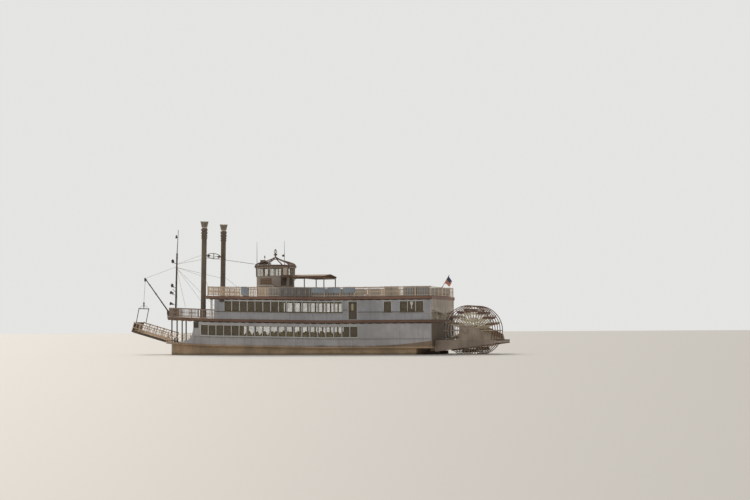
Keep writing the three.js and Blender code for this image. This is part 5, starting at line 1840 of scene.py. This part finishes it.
@dataclass
class Mast:
    """The mast with its topmast, lamps, bell and stays."""

    x: float = 18.1
    foot: float = DECK_TWO + rise(18.1) - 0.1
    rake: float = math.tan(math.radians(1.4))
    head: float = 12.65
    top: float = 15.54
    socket: Rows = ((0, 0.02), (0.24, 0.02), (0.24, 0.07), (0.15, 0.12), (0.13, 0.3), (0, 0.3))
    bands: Numbers = (7.2, 9.0, 10.8, 12.1, 12.6)
    bell: Rows = ((0, 0), (0.16, 0.02), (0.13, 0.1), (0.1, 0.3), (0.06, 0.42), (0, 0.44))
    bell_z: Span = (14.8, 14.55)
    arms: Numbers = (11.4, 8.35, 6.2)
    # Small arms forward: where they leave the mast, how far they reach and where they end.
    braces: tuple[Triple, ...] = ((7.42, 0.62, 7.54), (7.75, 0.5, 8.2))
    lamps: Numbers = (11.4, 8.35)
    lamp: Rows = (
        (0, 0), (0.14, 0.02), (0.17, 0.07), (0.17, 0.33), (0.2, 0.37), (0.08, 0.45), (0.04, 0.5), (0, 0.51),
    )
    horns: Numbers = (7.58, 6.2)
    horn: Rows = ((0, 0), (0.09, 0.01), (0.11, 0.2), (0.22, 0.42), (0.21, 0.43), (0.0, 0.36))
    # Stays of the port side: the height on the mast and the point on the ship that each runs to.
    mast_stays: tuple[tuple[float, Triple], ...] = (
        (11.3, (12.95, 2.85, 12.4)), (10.9, (13.02, 2.85, 9.55)), (10.8, (14.6, 5.05, 5.8)),
        (10.8, (15.9, 4.55, 5.9)),
    )
    chimney_stays: Boxes = (
        ((12.95, 3.0, 11.95), (7.2, 1.0, 11.1)), ((13.0, 3.15, 9.9), (11.5, 5.3, 8.2)),
    )
    wire: float = 0.014

    def at(self, z: float) -> float:
        """The mast's X at a height."""
        return self.x - (z - self.foot) * self.rake

    def build(self) -> None:
        """Builds the mast, what it carries and its stays."""
        self.pole()
        self.lights()
        self.stays()

    def pole(self) -> None:
        """The mast and topmast with their bands, bell and arms."""
        mast = Form()
        tip = (self.at(self.top) - 0.1, 0, self.top)
        mast.rod((self.x, 0, self.foot + 0.13), (self.at(self.head), 0, self.head), 0.115, 0.1, 16)
        mast.rod((self.at(12.05) + 0.02, 0, 12.05), tip, 0.06, 0.03, 12)
        mast.turned(self.socket, placed(self.x, 0, DECK_TWO + rise(self.x)), 16)
        for z in self.bands:
            mast.rod((self.at(z), 0, z - 0.05), (self.at(z), 0, z + 0.05), 0.125, sides=16)
        mast.ball(tip, 0.05)
        mast.turned(self.bell, placed(self.at(self.bell_z[0]) + 0.14, 0, self.bell_z[1]), 12)
        for z in self.arms:
            x = self.at(z)
            mast.tube([(x, 0, z), (x + 0.3, 0, z + 0.02), (x + 0.5, 0, z + 0.14)], 0.035)
        for low, reach, high in self.braces:
            mast.rod((self.at(low), 0, low), (self.at(low) + reach, 0, high), 0.03)
        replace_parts(mast.piece("mast_pole", IRON, "iron"), "mast")

    def lights(self) -> None:
        """Lamps and horns on the arms."""
        lamps = Form()
        for z in self.lamps:
            lamps.turned(self.lamp, placed(self.at(z) + 0.5, 0, z + 0.06, 0.25, "Y"), 14)
        for z in self.horns:
            lamps.turned(self.horn, placed(self.at(z) + 0.35, 0, z + 0.08, math.radians(75), "Y"), 14)
        lamps.piece("mast_lamps", LAMPS, "iron")

    def stays(self) -> None:
        """Taut wires from the mast to the chimneys and the decks, and from there to the pilothouse."""
        wires = Form()
        spans = [((self.at(z), 0, z), end) for z, end in self.mast_stays]
        for start, end in [*spans, *self.chimney_stays]:
            for side in Side:
                wires.rod(*((x, side.value * y, z) for x, y, z in (start, end)), self.wire, sides=6)
        wires.piece("mast_stays", IRON, "iron")


@dataclass
class Boom:
    """The boom with its bands, end block, topping wire and the hoist line that hangs from it."""

    x: float = 19.0
    z: float = 5.26
    length: float = 5.42
    angle: float = math.radians(52.8)
    pin: float = 0.147
    bands: Numbers = (0.06, 0.3, 0.55, 0.8, 0.96)
    # The end block's cheeks: X and Z from the boom's tip, and their Y.
    cheek: Rows = (
        (-0.1, 0.04), (-0.14, -0.2), (-0.06, -0.4), (0.04, -0.4), (0.1, -0.2), (0.08, 0.04),
    )
    cheeks: Span = (-0.085, 0.055)
    hook: Triple = (22.44, 0.0, 6.62)
    hook_block: Rows = (
        (0, -0.37), (0.07, -0.34), (0.1, -0.25), (0.08, -0.09), (0.03, -0.01), (0, 0),
    )
    topping_z: float = 11.0
    bracket: Rows = (
        (18.42, 4.62), (18.42, 5.1), (18.75, 5.5), (19.2, 5.5), (19.2, 5.0), (18.7, 4.72),
    )
    brackets: Span = (-0.21, 0.19)

    def at(self, share: float) -> Vector:
        """A point along the boom."""
        reach = share * self.length
        return Vector((self.x + reach * math.cos(self.angle), 0.0, self.z + reach * math.sin(self.angle)))

    def build(self) -> None:
        """Builds the spar and its rigging."""
        dress(IRON, "boom_bracket")
        self.spar()
        self.rigging()
        self.plates()

    def spar(self) -> None:
        """The tapered spar with its bands, heel pin and end block."""
        spar = Form()
        tip = self.at(1)
        spar.rod(self.at(0), tip, 0.085, 0.06, 16)
        spar.rod((self.x, -self.pin, self.z), (self.x, self.pin, self.z), 0.1, sides=16)
        spar.ball(tip, 0.09)
        for share in self.bands:
            spar.rod(self.at(share - 0.008), self.at(share + 0.008), 0.105, sides=16)
        cheek = [(tip.x + x, tip.z + z) for x, z in self.cheek]
        for y in self.cheeks:
            spar.plate(cheek, Plane.XZ, y, y + 0.03)
        x, z = tip.x - 0.01, tip.z - 0.24
        spar.rod((x, -0.055, z), (x, 0.055, z), 0.1, sides=14)
        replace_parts(spar.piece("boom_spar", IRON, "iron", 0.008, body="derrick_boom"), "boom")

    def rigging(self) -> None:
        """The hoist line with its block, and the topping wire."""
        tip, hook = self.at(1), Vector(self.hook)
        hoist, lift = Form(), Form()
        drop = Vector((tip.x - 0.01, 0, tip.z - 0.34))
        hoist.rod(drop, hook, 0.018, sides=6)
        hoist.turned(self.hook_block, placed(*hook), 12)
        self.span(hoist.piece("hoist_line", IRON, "iron", body=None))
        start = Vector((Mast().at(self.topping_z), 0, self.topping_z))
        lift.rod(start, tip, 0.016, sides=6)
        self.span(lift.piece("topping_wire", IRON, "iron", body=None))

    def plates(self) -> None:
        """Plates on the bracket that holds the boom's heel."""
        guard = Form()
        for y in self.brackets:
            guard.plate(self.bracket, Plane.XZ, y, y + 0.02)
        guard.rod((self.x, -0.24, self.z), (self.x, 0.24, self.z), 0.05, sides=12)
        guard.piece("boom_bracket_plates", IRON, "iron", 0.01)

    def span(self, wire: bpy.types.Object) -> None:
        """Bakes a taut wire's place into its mesh.

        Args:
            wire: the wire, with vertices near its two ends only.
        """
        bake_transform(wire)


@dataclass
class LandingStage:
    """The hinged landing stage: planking, edge strings, rails with mesh, tip gate and spreader.

    Its tables are in the stage's own frame: X along it from the hinge and Z off its floor.
    """

    x: float = 18.52
    z: float = MAIN_DECK + rise(18.4) - 0.02
    lift: float = math.radians(15.7)
    end: float = 5.1
    string_span: Span = (0.3, 5.08)
    half: float = 1.5
    planks: int = 34
    plank_half: float = 1.4
    plank_pitch: float = 0.146
    plank_width: float = 0.13
    bearers: Numbers = (-1.1, 0.0, 1.1)
    rail_y: float = 1.465
    rail_z: float = 1.12
    mesh: int = 23
    mesh_pitch: float = 0.2
    mesh_heights: Span = (0.16, 1.06)
    uprights: int = 12
    posts: Numbers = (0.135, 1.135, 2.135, 3.135, 4.135, 5.065)
    gate_bars: Numbers = (-1.3, -0.65, 0.0, 0.65, 1.3)
    # The ring that hangs on the gate: its middle, its radius and the radius of its section.
    ring: Triple = (5.0, 0.9, 0.62)
    ring_radius: float = 0.3
    ring_section: float = 0.09
    spreader: Span = (4.9, 2.94)
    hook: Span = (5.02, 3.4)

    def place(self) -> Matrix:
        """Moves the stage's own frame to the ship's."""
        return placed(self.x, 0, self.z, -self.lift, "Y")

    def carry(self, form: Form, name: str, finish: Finish, slot: str, bevel: float = 0.0) -> None:
        """Ends a form built in the stage's own frame as a piece that moves with it."""
        form.moved(self.place()).piece(name, finish, slot, bevel, body="landing_stage")

    def build(self) -> None:
        """Builds what the stage carries."""
        dress(STAGE_PLANKS, "stage_floor")
        dress(IRON, "stage_gate", "stage_spreader")
        dress(RAILING, *both("stage_rail"))
        self.floor()
        self.rails()
        self.tip()
        self.bridle()

    def floor(self) -> None:
        """Planks across the floor, bearers below it, and an iron string along each edge."""
        deck, strings = Form(), Form()
        for index in range(self.planks):
            x = 0.14 + index * self.plank_pitch
            deck.block((x, -self.plank_half, 0.1), (x + self.plank_width, self.plank_half, 0.118))
        for y in self.bearers:
            deck.block((0.2, y - 0.05, -0.2), (5.0, y + 0.05, -0.1))
        self.carry(deck, "stage_planking", STAGE_PLANKS, "wood", 0.01)
        aft, front = self.string_span
        for y in (-self.half - 0.03, self.half):
            strings.block((aft, y, -0.12), (front, y + 0.03, 0.13))
        for y in (-self.half, self.half - 0.1):
            strings.block((aft, y, 0.1), (front, y + 0.1, 0.13))
        self.carry(strings, "stage_strings", IRON, "iron", 0.006)

    def rails(self) -> None:
        """Zigzag mesh, uprights, a cap and knobs on both rails."""
        rails = Form()
        low, high = self.mesh_heights
        for side in (1, -1):
            y = side * self.rail_y
            for index in range(self.mesh):
                x = 0.25 + index * self.mesh_pitch
                start, end = (low, high) if index % 2 else (high, low)
                out = y + side * 0.02
                rails.rod((x, out, start), (x + self.mesh_pitch, out, end), 0.014, sides=5)
            for index in range(self.uprights):
                x = 0.25 + index * 2 * self.mesh_pitch
                rails.block((x - 0.014, y - 0.014, 0.12), (x + 0.014, y + 0.014, 1.04))
            rails.tube([(0.1, y, self.rail_z), (5.05, y, self.rail_z)], 0.045)
            for x in self.posts:
                rails.ball((x, y, self.rail_z + 0.04), 0.06, rings=4)
        self.carry(rails, "stage_pickets", RAILING, "rail")

    def tip(self) -> None:
        """The gate's bars and head rail, with the ring that hangs on it."""
        tip = Form()
        for y in self.gate_bars:
            tip.block((self.end - 0.08, y - 0.04, 0.1), (self.end, y + 0.04, 1.1))
        tip.block((self.end - 0.12, -1.46, 1.04), (self.end, 1.46, 1.14))
        x, y, z = self.ring
        for angle in (index * math.tau / 12 for index in range(12)):
            across, up = self.ring_radius * math.cos(angle), self.ring_radius * math.sin(angle)
            tip.ball((x + 0.02 * math.cos(angle), y + across, z + up), self.ring_section, rings=4)
        self.carry(tip, "stage_tip", IRON, "iron", 0.012)

    def bridle(self) -> None:
        """The spreader bar above the tip, with its legs and the wires to the hook."""
        bridle = Form()
        x, z = self.spreader
        for y in (-self.rail_y, self.rail_y):
            bridle.rod((x, y, z), (x - 0.12, y, 1.14), 0.05)
            bridle.ball((x, y, z), 0.075, rings=5)
            bridle.rod((x, y, z + 0.04), (self.hook[0], 0, self.hook[1]), 0.016, sides=6)
        bridle.rod((x, -1.53, z), (x, 1.53, z), 0.055, sides=12)
        self.carry(bridle, "stage_bridle", IRON, "iron")


@dataclass
class Foredeck:
    """The light rail and the bitts on the main foredeck."""

    rail_start: float = 14.8
    rail_levels: Numbers = (0.35, 0.7, 1.05)
    gap_half: float = 1.55
    bitts: Rows = ((16.4, 3.3), (16.9, 3.0))
    bitt: Rows = (
        (0, 0), (0.16, 0), (0.16, 0.04), (0.1, 0.06), (0.09, 0.4), (0.14, 0.43), (0.13, 0.5), (0, 0.51),
    )

    def build(self) -> None:
        """Builds the rail and the bitts."""
        dress(IRON, "bow_posts_front", *both("bow_post"), *both("rudder"), "engine_block")
        rail, bitts = Form(), Form()
        points = [
            (point.x, point.y) for point, _ in spaced(deck_edge(1.9, 0.2, self.rail_start), 0.5)
            if point.y > self.gap_half
        ]
        for level in self.rail_levels:
            rail.tube([(x, y, MAIN_DECK + level + rise(x)) for x, y in points], 0.022, 6)
        for x, y in points[::2]:
            floor = MAIN_DECK + rise(x)
            rail.rod((x, y, floor), (x, y, floor + self.rail_levels[-1]), 0.028, sides=6)
        rail.mirrored().piece("foredeck_rail", RAILING, "rail")
        for x, y in self.bitts:
            bitts.turned(self.bitt, placed(x, y, MAIN_DECK + rise(x)), 14)
        bitts.mirrored().piece("mooring_bitts", IRON, "iron")


@dataclass
class Doors:
    """The houses' doors: frames on the walls, and panels, panes and handles on the leaves."""

    side_opening: Span = (-7.45, -6.4)
    side_heights: Span = (0.1, 2.2)
    front_half: float = 0.55
    front_head: float = 2.15
    frame: float = 0.08
    proud: float = 0.04
    # Both houses' front doors: the leaf's body, its wall and the deck that it stands on.
    fronts: tuple[tuple[str, float, float], ...] = (
        ("saloon_door", LOWER_FRONT, MAIN_DECK), ("gallery_door", UPPER_FRONT, DECK_TWO),
    )
    leaf_depths: Span = (5.411, 5.437)
    leaf_span: Span = (-7.25, -6.52)

    def build(self) -> None:
        """Builds the frames and dresses every leaf."""
        dress(DARK_DOORS, *both("upper_door"))
        dress(DOORS, "lower_door_front", "upper_door_front")
        self.frames()
        for side in Side:
            self.side_leaf(side)
        for body, front, floor in self.fronts:
            self.front_leaf(body, front, floor + rise(front))

    def frames(self) -> None:
        """Frames round the side doors and the front doors."""
        frames = Form()
        (aft, front), out = self.side_opening, WALL_FACE + self.proud
        low, high = (DECK_TWO + height for height in self.side_heights)
        for start, end in ((aft - self.frame, aft), (front, front + self.frame)):
            frames.block((start, WALL_FACE, low - 0.02), (end, out, high + self.frame))
        frames.block((aft, WALL_FACE, high), (front, out, high + self.frame))
        frames.mirrored()
        half = self.front_half
        for _, x, floor in self.fronts:
            base = floor + rise(x)
            head = base + self.front_head
            for left, right in ((-half - self.frame, -half), (half, half + self.frame)):
                frames.block((x, left, base + 0.06), (x + self.proud, right, head + self.frame))
            frames.block((x, -half, head), (x + self.proud, half, head + self.frame))
        frames.piece("door_frames", FRAMES, "white", 0.008)

    def side_leaf(self, side: Side) -> None:
        """The panels, the pale pane of painted light and the handle of one side door.

        Args:
            side: the side of the ship.
        """
        leaf, pane = Form(), Form()
        inner, outer = sorted(side.value * depth for depth in self.leaf_depths)
        aft, front = self.leaf_span
        body = f"{side.word}_door"
        leaf.block((aft, inner, DECK_TWO + 0.22), (front, outer, DECK_TWO + 0.95))
        for x in (aft, front - 0.24):
            leaf.block((x, inner, DECK_TWO + 1.1), (x + 0.24, outer, DECK_TWO + 2.0))
        for z in (1.05, 1.93):
            leaf.block((aft, inner, DECK_TWO + z), (front, outer, DECK_TWO + z + 0.1))
        leaf.ball((front, side.value * 5.46, DECK_TWO + 1.03), 0.04)
        leaf.piece(f"side_door_panels_{side.word}", DARK_DOORS, "door", 0.01, body=body)
        low, high = DECK_TWO + 1.15, DECK_TWO + 1.93
        pane.block((aft + 0.24, inner, low), (front - 0.24, inner + 0.012, high))
        pane.block((-6.9, inner, low), (-6.87, outer, high))
        pane.piece(f"side_door_pane_{side.word}", LIT_PANE, "white", 0.003, body=body)

    def front_leaf(self, body: str, front: float, base: float) -> None:
        """The panels and the handle of one front door.

        Args:
            body: the body that the leaf moves with.
            front: the X of the wall that it is in.
            base: the deck's height there.
        """
        leaf = Form()
        x = front - WALL / 2 + 0.075
        for low, high in ((0.25, 0.95), (1.1, 1.95)):
            leaf.block((x, -0.42, base + low), (x + 0.025, 0.4, base + high))
        leaf.ball((x + 0.05, -0.46, base + 1.03), 0.04)
        leaf.piece(f"{body}_panels", DOORS, "door", 0.01, body=body)


@dataclass
class Columns:
    """Pale columns at the upper front, and dark boxes of painted shade at the houses' front corners."""

    feet: Rows = ((11.1, 5.25), (11.5, 1.9))
    profile: Rows = (
        (0, 0.0), (0.17, 0.0), (0.17, 0.12), (0.13, 0.18), (0.13, 2.2), (0.17, 2.28), (0.17, 2.4), (0, 2.42),
    )
    # Dark boxes just below the deck edges near the houses' front corners: painted shade there.
    lamp_boxes: Boxes = (
        ((12.74, WALL_FACE - 0.02, 3.3), (13.34, 5.5, 3.98)), ((12.8, 5.49, 3.36), (13.28, 5.52, 3.92)),
        ((9.38, WALL_FACE - 0.02, 6.42), (9.97, 5.5, 6.8)),
    )

    def build(self) -> None:
        """Builds the columns and the dark corner boxes of painted shade."""
        columns, lamps = Form(), Form()
        for x, y in self.feet:
            columns.turned(self.profile, placed(x, y, DECK_TWO + rise(x)), 16)
        columns.mirrored().piece("gallery_columns", WHITE_TRIM, "white")
        # The corner boxes take the lamps' dark paint as painted shade.
        for low, high in self.lamp_boxes:
            lamps.block(low, high)
        lamps.mirrored().piece("corner_lamp_boxes", LAMPS, "iron", 0.03)


@dataclass
class PaddleWheel:
    """The stern wheel: rims, arms with bracing hoops, boards and hubs on the shaft."""

    x: float = -20.25
    z: float = 2.78
    half: float = 3.35
    discs: int = 5
    arms: int = 18
    arm_span: Span = (0.4, 2.95)
    arm_half: Span = (0.046, 0.07)
    hoops: Numbers = (2.05, 1.3)
    hoop_radius: float = 0.028
    rim: Span = (2.94, 0.05)
    inner: float = 2.24
    outer: float = 2.6
    hub: Rows = (
        (0.205, -0.14), (0.5, -0.12), (0.56, -0.06), (0.56, 0.06), (0.5, 0.12), (0.205, 0.14), (0.205, -0.14),
    )
    bolts: int = 9
    # The beams' flanges: both faces' Y, and outlines in X and Z.
    faces: Span = (3.58, 4.09)
    flanges: tuple[Rows, ...] = (
        ((-16.62, 1.6), (-16.62, 1.7), (-23.78, 1.7), (-23.78, 1.6)),
        ((-16.62, 0.33), (-16.62, 0.42), (-23.76, 1.38), (-23.76, 1.28)),
    )
    bearing_edge: Rows = (
        (-19.45, 1.68), (-19.55, 3.25), (-19.8, 3.36), (-20.7, 3.36), (-22.95, 2.3), (-23.1, 1.68),
    )
    collar: Rows = ((0.22, -0.04), (0.42, -0.03), (0.42, 0.03), (0.22, 0.04), (0.22, -0.04))
    cap_y: float = 4.26
    cap: Rows = ((0, 0), (0.3, 0), (0.3, 0.05), (0.24, 0.14), (0.1, 0.17), (0, 0.17))

    def place(self, y: float = 0.0, turn: float = 0.0) -> Matrix:
        """The wheel's middle at a Y, with its own Z along the shaft, turned about it."""
        return placed(self.x, y, self.z, math.pi / 2, "X") @ Matrix.Rotation(turn, 4, "Z")

    def build(self) -> None:
        """Builds the wheel and what carries it."""
        dress(BEAMS, *both("wheel_beam"), *both("wheel_bearing"), "wheel_guard")
        dress(IRON, "wheel_shaft")
        bay = 2 * self.half / self.discs
        middles = [-self.half + (index + 0.5) * bay for index in range(self.discs)]
        self.spokes(middles)
        self.hubs(middles)
        self.boards(middles)
        self.works()

    def turns(self) -> list[float]:
        """The angle of each arm."""
        return [arm * math.tau / self.arms for arm in range(self.arms)]

    def spokes(self, middles: Sequence[float]) -> None:
        """Arms with bracing hoops, and the rims, of the discs at those Ys.

        Args:
            middles: the Y of each disc.
        """
        spokes, rims = Form(), Form()
        (inner, outer), (half, thick) = self.arm_span, self.arm_half
        for middle in middles:
            place = self.place(middle)
            for radius in self.hoops:
                ring = [place @ spot for spot in circle(radius, 2 * self.arms)]
                spokes.tube(ring, self.hoop_radius, 6, closed=True)
            rim = [place @ spot for spot in circle(self.rim[0], 2 * self.arms)]
            rims.tube(rim, self.rim[1], 6, closed=True)
            for turn in self.turns():
                spokes.block((inner, -half, -thick), (outer, half, thick), self.place(middle, turn))
        made = spokes.piece("wheel_arms", GLINTING_SPOKES, "wheel", body="paddle_wheel")
        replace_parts(made, *[f"wheel_spider_{index + 1}" for index in range(self.discs)])
        rims.piece("wheel_rims", BOARDS, "wheel", body="paddle_wheel")

    def hubs(self, middles: Sequence[float]) -> None:
        """A bolted hub in the middle of each disc.

        Args:
            middles: the Y of each disc.
        """
        hubs = Form()
        for middle in middles:
            hubs.turned(self.hub, self.place(middle), 24)
            for bolt in range(self.bolts):
                place = self.place(middle, bolt * math.tau / self.bolts)
                hubs.rod(place @ Vector((0.42, 0, -0.16)), place @ Vector((0.42, 0, 0.16)), 0.03, sides=6)
        hubs.piece("wheel_hubs", IRON, "iron", body="paddle_wheel")

    def boards(self, middles: Sequence[float]) -> None:
        """Two boards on every arm, right across the wheel, with a clamp at each disc.

        Args:
            middles: the Y of each disc.
        """
        boards = Form()
        middle = (self.inner + self.outer) / 2
        for place in (self.place(0.0, turn) for turn in self.turns()):
            for low, high in ((self.inner, middle - 0.01), (middle + 0.01, self.outer)):
                boards.block((low, 0.05, -self.half), (high, 0.1, self.half), place)
            for y in middles:
                for radius in (self.inner + 0.1, self.outer - 0.1):
                    boards.block((radius - 0.03, -0.07, -y - 0.03), (radius + 0.03, 0.13, -y + 0.03), place)
        boards.piece("wheel_boards", BOARDS, "wheel", 0.008, body="paddle_wheel")

    def works(self) -> None:
        """Flanges and collars on the beams that carry the wheel, and caps on the shaft's ends."""
        form, caps = Form(), Form()
        for y in self.faces:
            for outline in self.flanges:
                form.plate(outline, Plane.XZ, y, y + 0.03)
            form.tube([(x, y + 0.015, z) for x, z in self.bearing_edge], 0.04, 6)
            form.turned(self.collar, self.place(y + 0.015), 20)
        form.mirrored().piece("beam_flanges", BEAMS, "hull", 0.008)
        caps.turned(self.cap, placed(self.x, self.cap_y, self.z, -math.pi / 2, "X"), 20)
        caps.mirrored().piece("shaft_caps", BEAMS, "iron", body="paddle_wheel")


@dataclass
class Flag:
    """The flagstaff on the aft rail and its flag, drooping in folds."""

    # The cloth's edges at the staff and at the fly, from foot to head, in X and Z.
    hoist: tuple[Span, Span] = ((-16.757, 8.472), (-17.27, 9.33))
    fly: tuple[Span, Span] = ((-17.2, 8.15), (-17.56, 8.68))
    folds: float = 3.25
    swing: float = 0.075
    start: float = 0.055
    offset: float = 0.145
    flat: Span = (0.6, 0.5)
    grid: tuple[int, int] = (44, 24)
    thickness: float = 0.003
    frames: int = 14
    mass: float = 0.15
    stiffness: float = 12.0
    bending: float = 0.4
    staff_cap: Triple = (-17.31, 0.0, 9.4)
    halyard: tuple[Triple, Triple] = ((-17.28, 0.045, 9.3), (-16.5, 0.045, 8.05))
    staff_foot: Rows = ((0, 0), (0.09, 0), (0.07, 0.08), (0, 0.09))

    def build(self) -> None:
        """Builds the flag, its halyard and the staff's fittings."""
        dress(IRON, "flagstaff")
        self.cloth()
        line = Form()
        line.rod(*self.halyard, 0.01, sides=6)
        line.ball(self.staff_cap, 0.055, rings=5)
        line.turned(self.staff_foot, placed(-16.45, 0, 7.96), 12)
        line.piece("flag_halyard", ROPE, "iron")

    def folded(self, u: float, v: float) -> Vector:
        """Where a point of the cloth hangs, u from the staff to the fly and v from foot to head.

        Args:
            u, v: its place on the flat cloth, from 0 to 1.

        Returns:
            The point.
        """
        foot = Vector(self.hoist[0]).lerp(Vector(self.hoist[1]), v)
        end = Vector(self.fly[0]).lerp(Vector(self.fly[1]), v)
        spot = foot.lerp(end, u)
        sway = math.sin(math.tau * self.folds * u + 0.9 * v) * self.swing * min(1.0, 6 * u)
        start = self.start + (self.offset - self.start) * min(1.0, 5 * u)
        return Vector((spot.x, start + sway, spot.y))

    def cloth(self) -> None:
        """The cloth, pinned along the staff and at the fly's two corners."""
        form = Form()
        bmesh.ops.create_grid(form.mesh, x_segments=self.grid[0], y_segments=self.grid[1], size=0.5)
        layer = form.mesh.loops.layers.uv.new("weave")
        for loop in (loop for face in form.mesh.faces for loop in face.loops):
            loop[layer].uv = (loop.vert.co.x + 0.5, loop.vert.co.y + 0.5)
        pins = []
        for index, vertex in enumerate(form.mesh.verts):
            u, v = vertex.co.x + 0.5, vertex.co.y + 0.5
            if u < 0.001 or (u > 0.999 and not 0.001 < v < 0.999):
                pins.append(index)
            vertex.co = self.folded(u, v)
        flag = form.piece("flag_cloth", FLAG_CLOTH, "flag", smooth=75.0)
        self.drape(flag, pins)
        thick = flag.modifiers.new("thickness", "SOLIDIFY")
        thick.thickness = self.thickness
        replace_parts(flag, "flag")

    def drape(self, flag: bpy.types.Object, pins: Sequence[int]) -> None:
        """Lets the folded cloth settle under its weight, held at some of its vertices.

        Args:
            flag: the cloth.
            pins: the numbers of the vertices that are held.
        """
        held = flag.vertex_groups.new(name="held")
        held.add(list(pins), 1.0, "REPLACE")
        cloth = flag.modifiers.new("settle", "CLOTH")
        cloth.settings.quality = 6
        cloth.settings.mass = self.mass
        cloth.settings.tension_stiffness = self.stiffness
        cloth.settings.compression_stiffness = self.stiffness
        cloth.settings.bending_stiffness = self.bending
        cloth.settings.vertex_group_mass = "held"
        scene = bpy.context.scene
        for number in range(1, self.frames + 1):
            scene.frame_set(number)
        graph = bpy.context.evaluated_depsgraph_get()
        settled = [vertex.co.copy() for vertex in flag.evaluated_get(graph).data.vertices]
        flag.modifiers.remove(cloth)
        for vertex, place in zip(flag.data.vertices, settled):
            vertex.co = place
        flag.vertex_groups.remove(held)
        scene.frame_set(1)


# The scene.


@dataclass
class Studio:
    """The floor at the waterline, the light and the camera at the photograph's viewing angle."""

    eye: Point = (-33.1, 96.625, 2.05)
    heading: Span = (0.288, -0.9576)
    pitch: float = math.radians(2.765)
    roll: float = math.radians(0.32)
    lens: float = 80.0
    sensor: float = 36.0
    reach: float = 4000.0
    sky: Colour = (0.78, 0.78, 0.765)
    ambient: float = 0.6
    sun: float = 2.2
    sun_spread: float = math.radians(25)
    sun_colour: Colour = (1.0, 0.93, 0.84)
    sun_from: Point = (0.55, -0.75, 0.62)
    floor_half: float = 1400.0
    floor_colour: Colour = (0.62, 0.6, 0.57)
    floor_roughness: float = 0.7

    def build(self) -> None:
        """Builds the camera, the light and the floor."""
        self.camera()
        self.light()
        self.floor()
        bpy.context.scene.view_settings.view_transform = "Standard"

    def camera(self) -> None:
        """Places the camera."""
        data = bpy.data.cameras.new("camera")
        data.lens = self.lens
        data.sensor_width = self.sensor
        data.clip_end = self.reach
        east, north = self.heading
        forward = Vector((east * math.cos(self.pitch), north * math.cos(self.pitch), math.sin(self.pitch)))
        level = Vector((north, -east, 0.0))
        upright = level.cross(forward)
        right = level * math.cos(self.roll) - upright * math.sin(self.roll)
        up = level * math.sin(self.roll) + upright * math.cos(self.roll)
        made = bpy.data.objects.new("camera", data)
        turn = Matrix((right, up, -forward)).transposed().to_4x4()
        made.matrix_world = Matrix.Translation(self.eye) @ turn
        bpy.context.scene.collection.objects.link(made)
        bpy.context.scene.camera = made

    def light(self) -> None:
        """A pale sky, seen brighter than it lights, and a soft sun from beyond the bow."""
        world = bpy.data.worlds.new("sky")
        world.use_nodes = True
        tree = world.node_tree
        tree.nodes.clear()
        seen = tree.nodes.new("ShaderNodeBackground")
        seen.inputs[0].default_value = (*self.sky, 1.0)
        lit = tree.nodes.new("ShaderNodeBackground")
        lit.inputs[0].default_value = (*self.sky, 1.0)
        lit.inputs[1].default_value = self.ambient
        path = tree.nodes.new("ShaderNodeLightPath")
        mix = tree.nodes.new("ShaderNodeMixShader")
        out = tree.nodes.new("ShaderNodeOutputWorld")
        tree.links.new(path.outputs["Is Camera Ray"], mix.inputs[0])
        tree.links.new(lit.outputs[0], mix.inputs[1])
        tree.links.new(seen.outputs[0], mix.inputs[2])
        tree.links.new(mix.outputs[0], out.inputs[0])
        bpy.context.scene.world = world
        lamp = bpy.data.lights.new("sun", "SUN")
        lamp.energy = self.sun
        lamp.angle = self.sun_spread
        lamp.color = self.sun_colour
        made = bpy.data.objects.new("sun", lamp)
        made.rotation_euler = Vector(self.sun_from).to_track_quat("Z", "Y").to_euler()
        bpy.context.scene.collection.objects.link(made)

    def floor(self) -> None:
        """A plain pale floor at the waterline."""
        mesh = bmesh.new()
        bmesh.ops.create_grid(mesh, x_segments=1, y_segments=1, size=self.floor_half)
        bmesh.ops.translate(mesh, vec=(0, 0, DRAFT * SCALE), verts=mesh.verts[:])
        data = bpy.data.meshes.new("floor")
        mesh.to_mesh(data)
        mesh.free()
        made = bpy.data.objects.new("floor", data)
        bpy.context.scene.collection.objects.link(made)
        finish = {"Base Color": self.floor_colour, "Roughness": self.floor_roughness}
        data.materials.append(Shader("floor_finish").surface(finish))


def main() -> None:
    """Builds every sub-assembly in order and reports each piece."""
    logging.basicConfig(level=logging.INFO, format="%(message)s")
    Studio().build()
    Edges().build()
    Gallery().build()
    Storey(
        "lower", MAIN_DECK, 1.14, LOWER_FRONT, ((-7.49, 20, 1.0),), (-5.75, 7.05), (-5.75, 11.0),
    ).build()
    upper = Storey(
        "upper", DECK_TWO, 0.96, UPPER_FRONT, ((-15.54, 3, 0.98), (-11.64, 1, 1.0), (-5.55, 15, 1.0)),
        (-5.6, 1.76), (-5.6, 6.6), sill_board=(-0.09, 0.02), sill_paint=SASHES,
    )
    upper.build()
    upper.shade(-14.12)
    Booths().build()
    Railings().build()
    TopDeckSeats().build()
    Pilothouse().build()
    Awning().build()
    Chimneys().build()
    Mast().build()
    Boom().build()
    LandingStage().build()
    Foredeck().build()
    Doors().build()
    Columns().build()
    PaddleWheel().build()
    Flag().build()


if __name__ == "__main__":
    main()
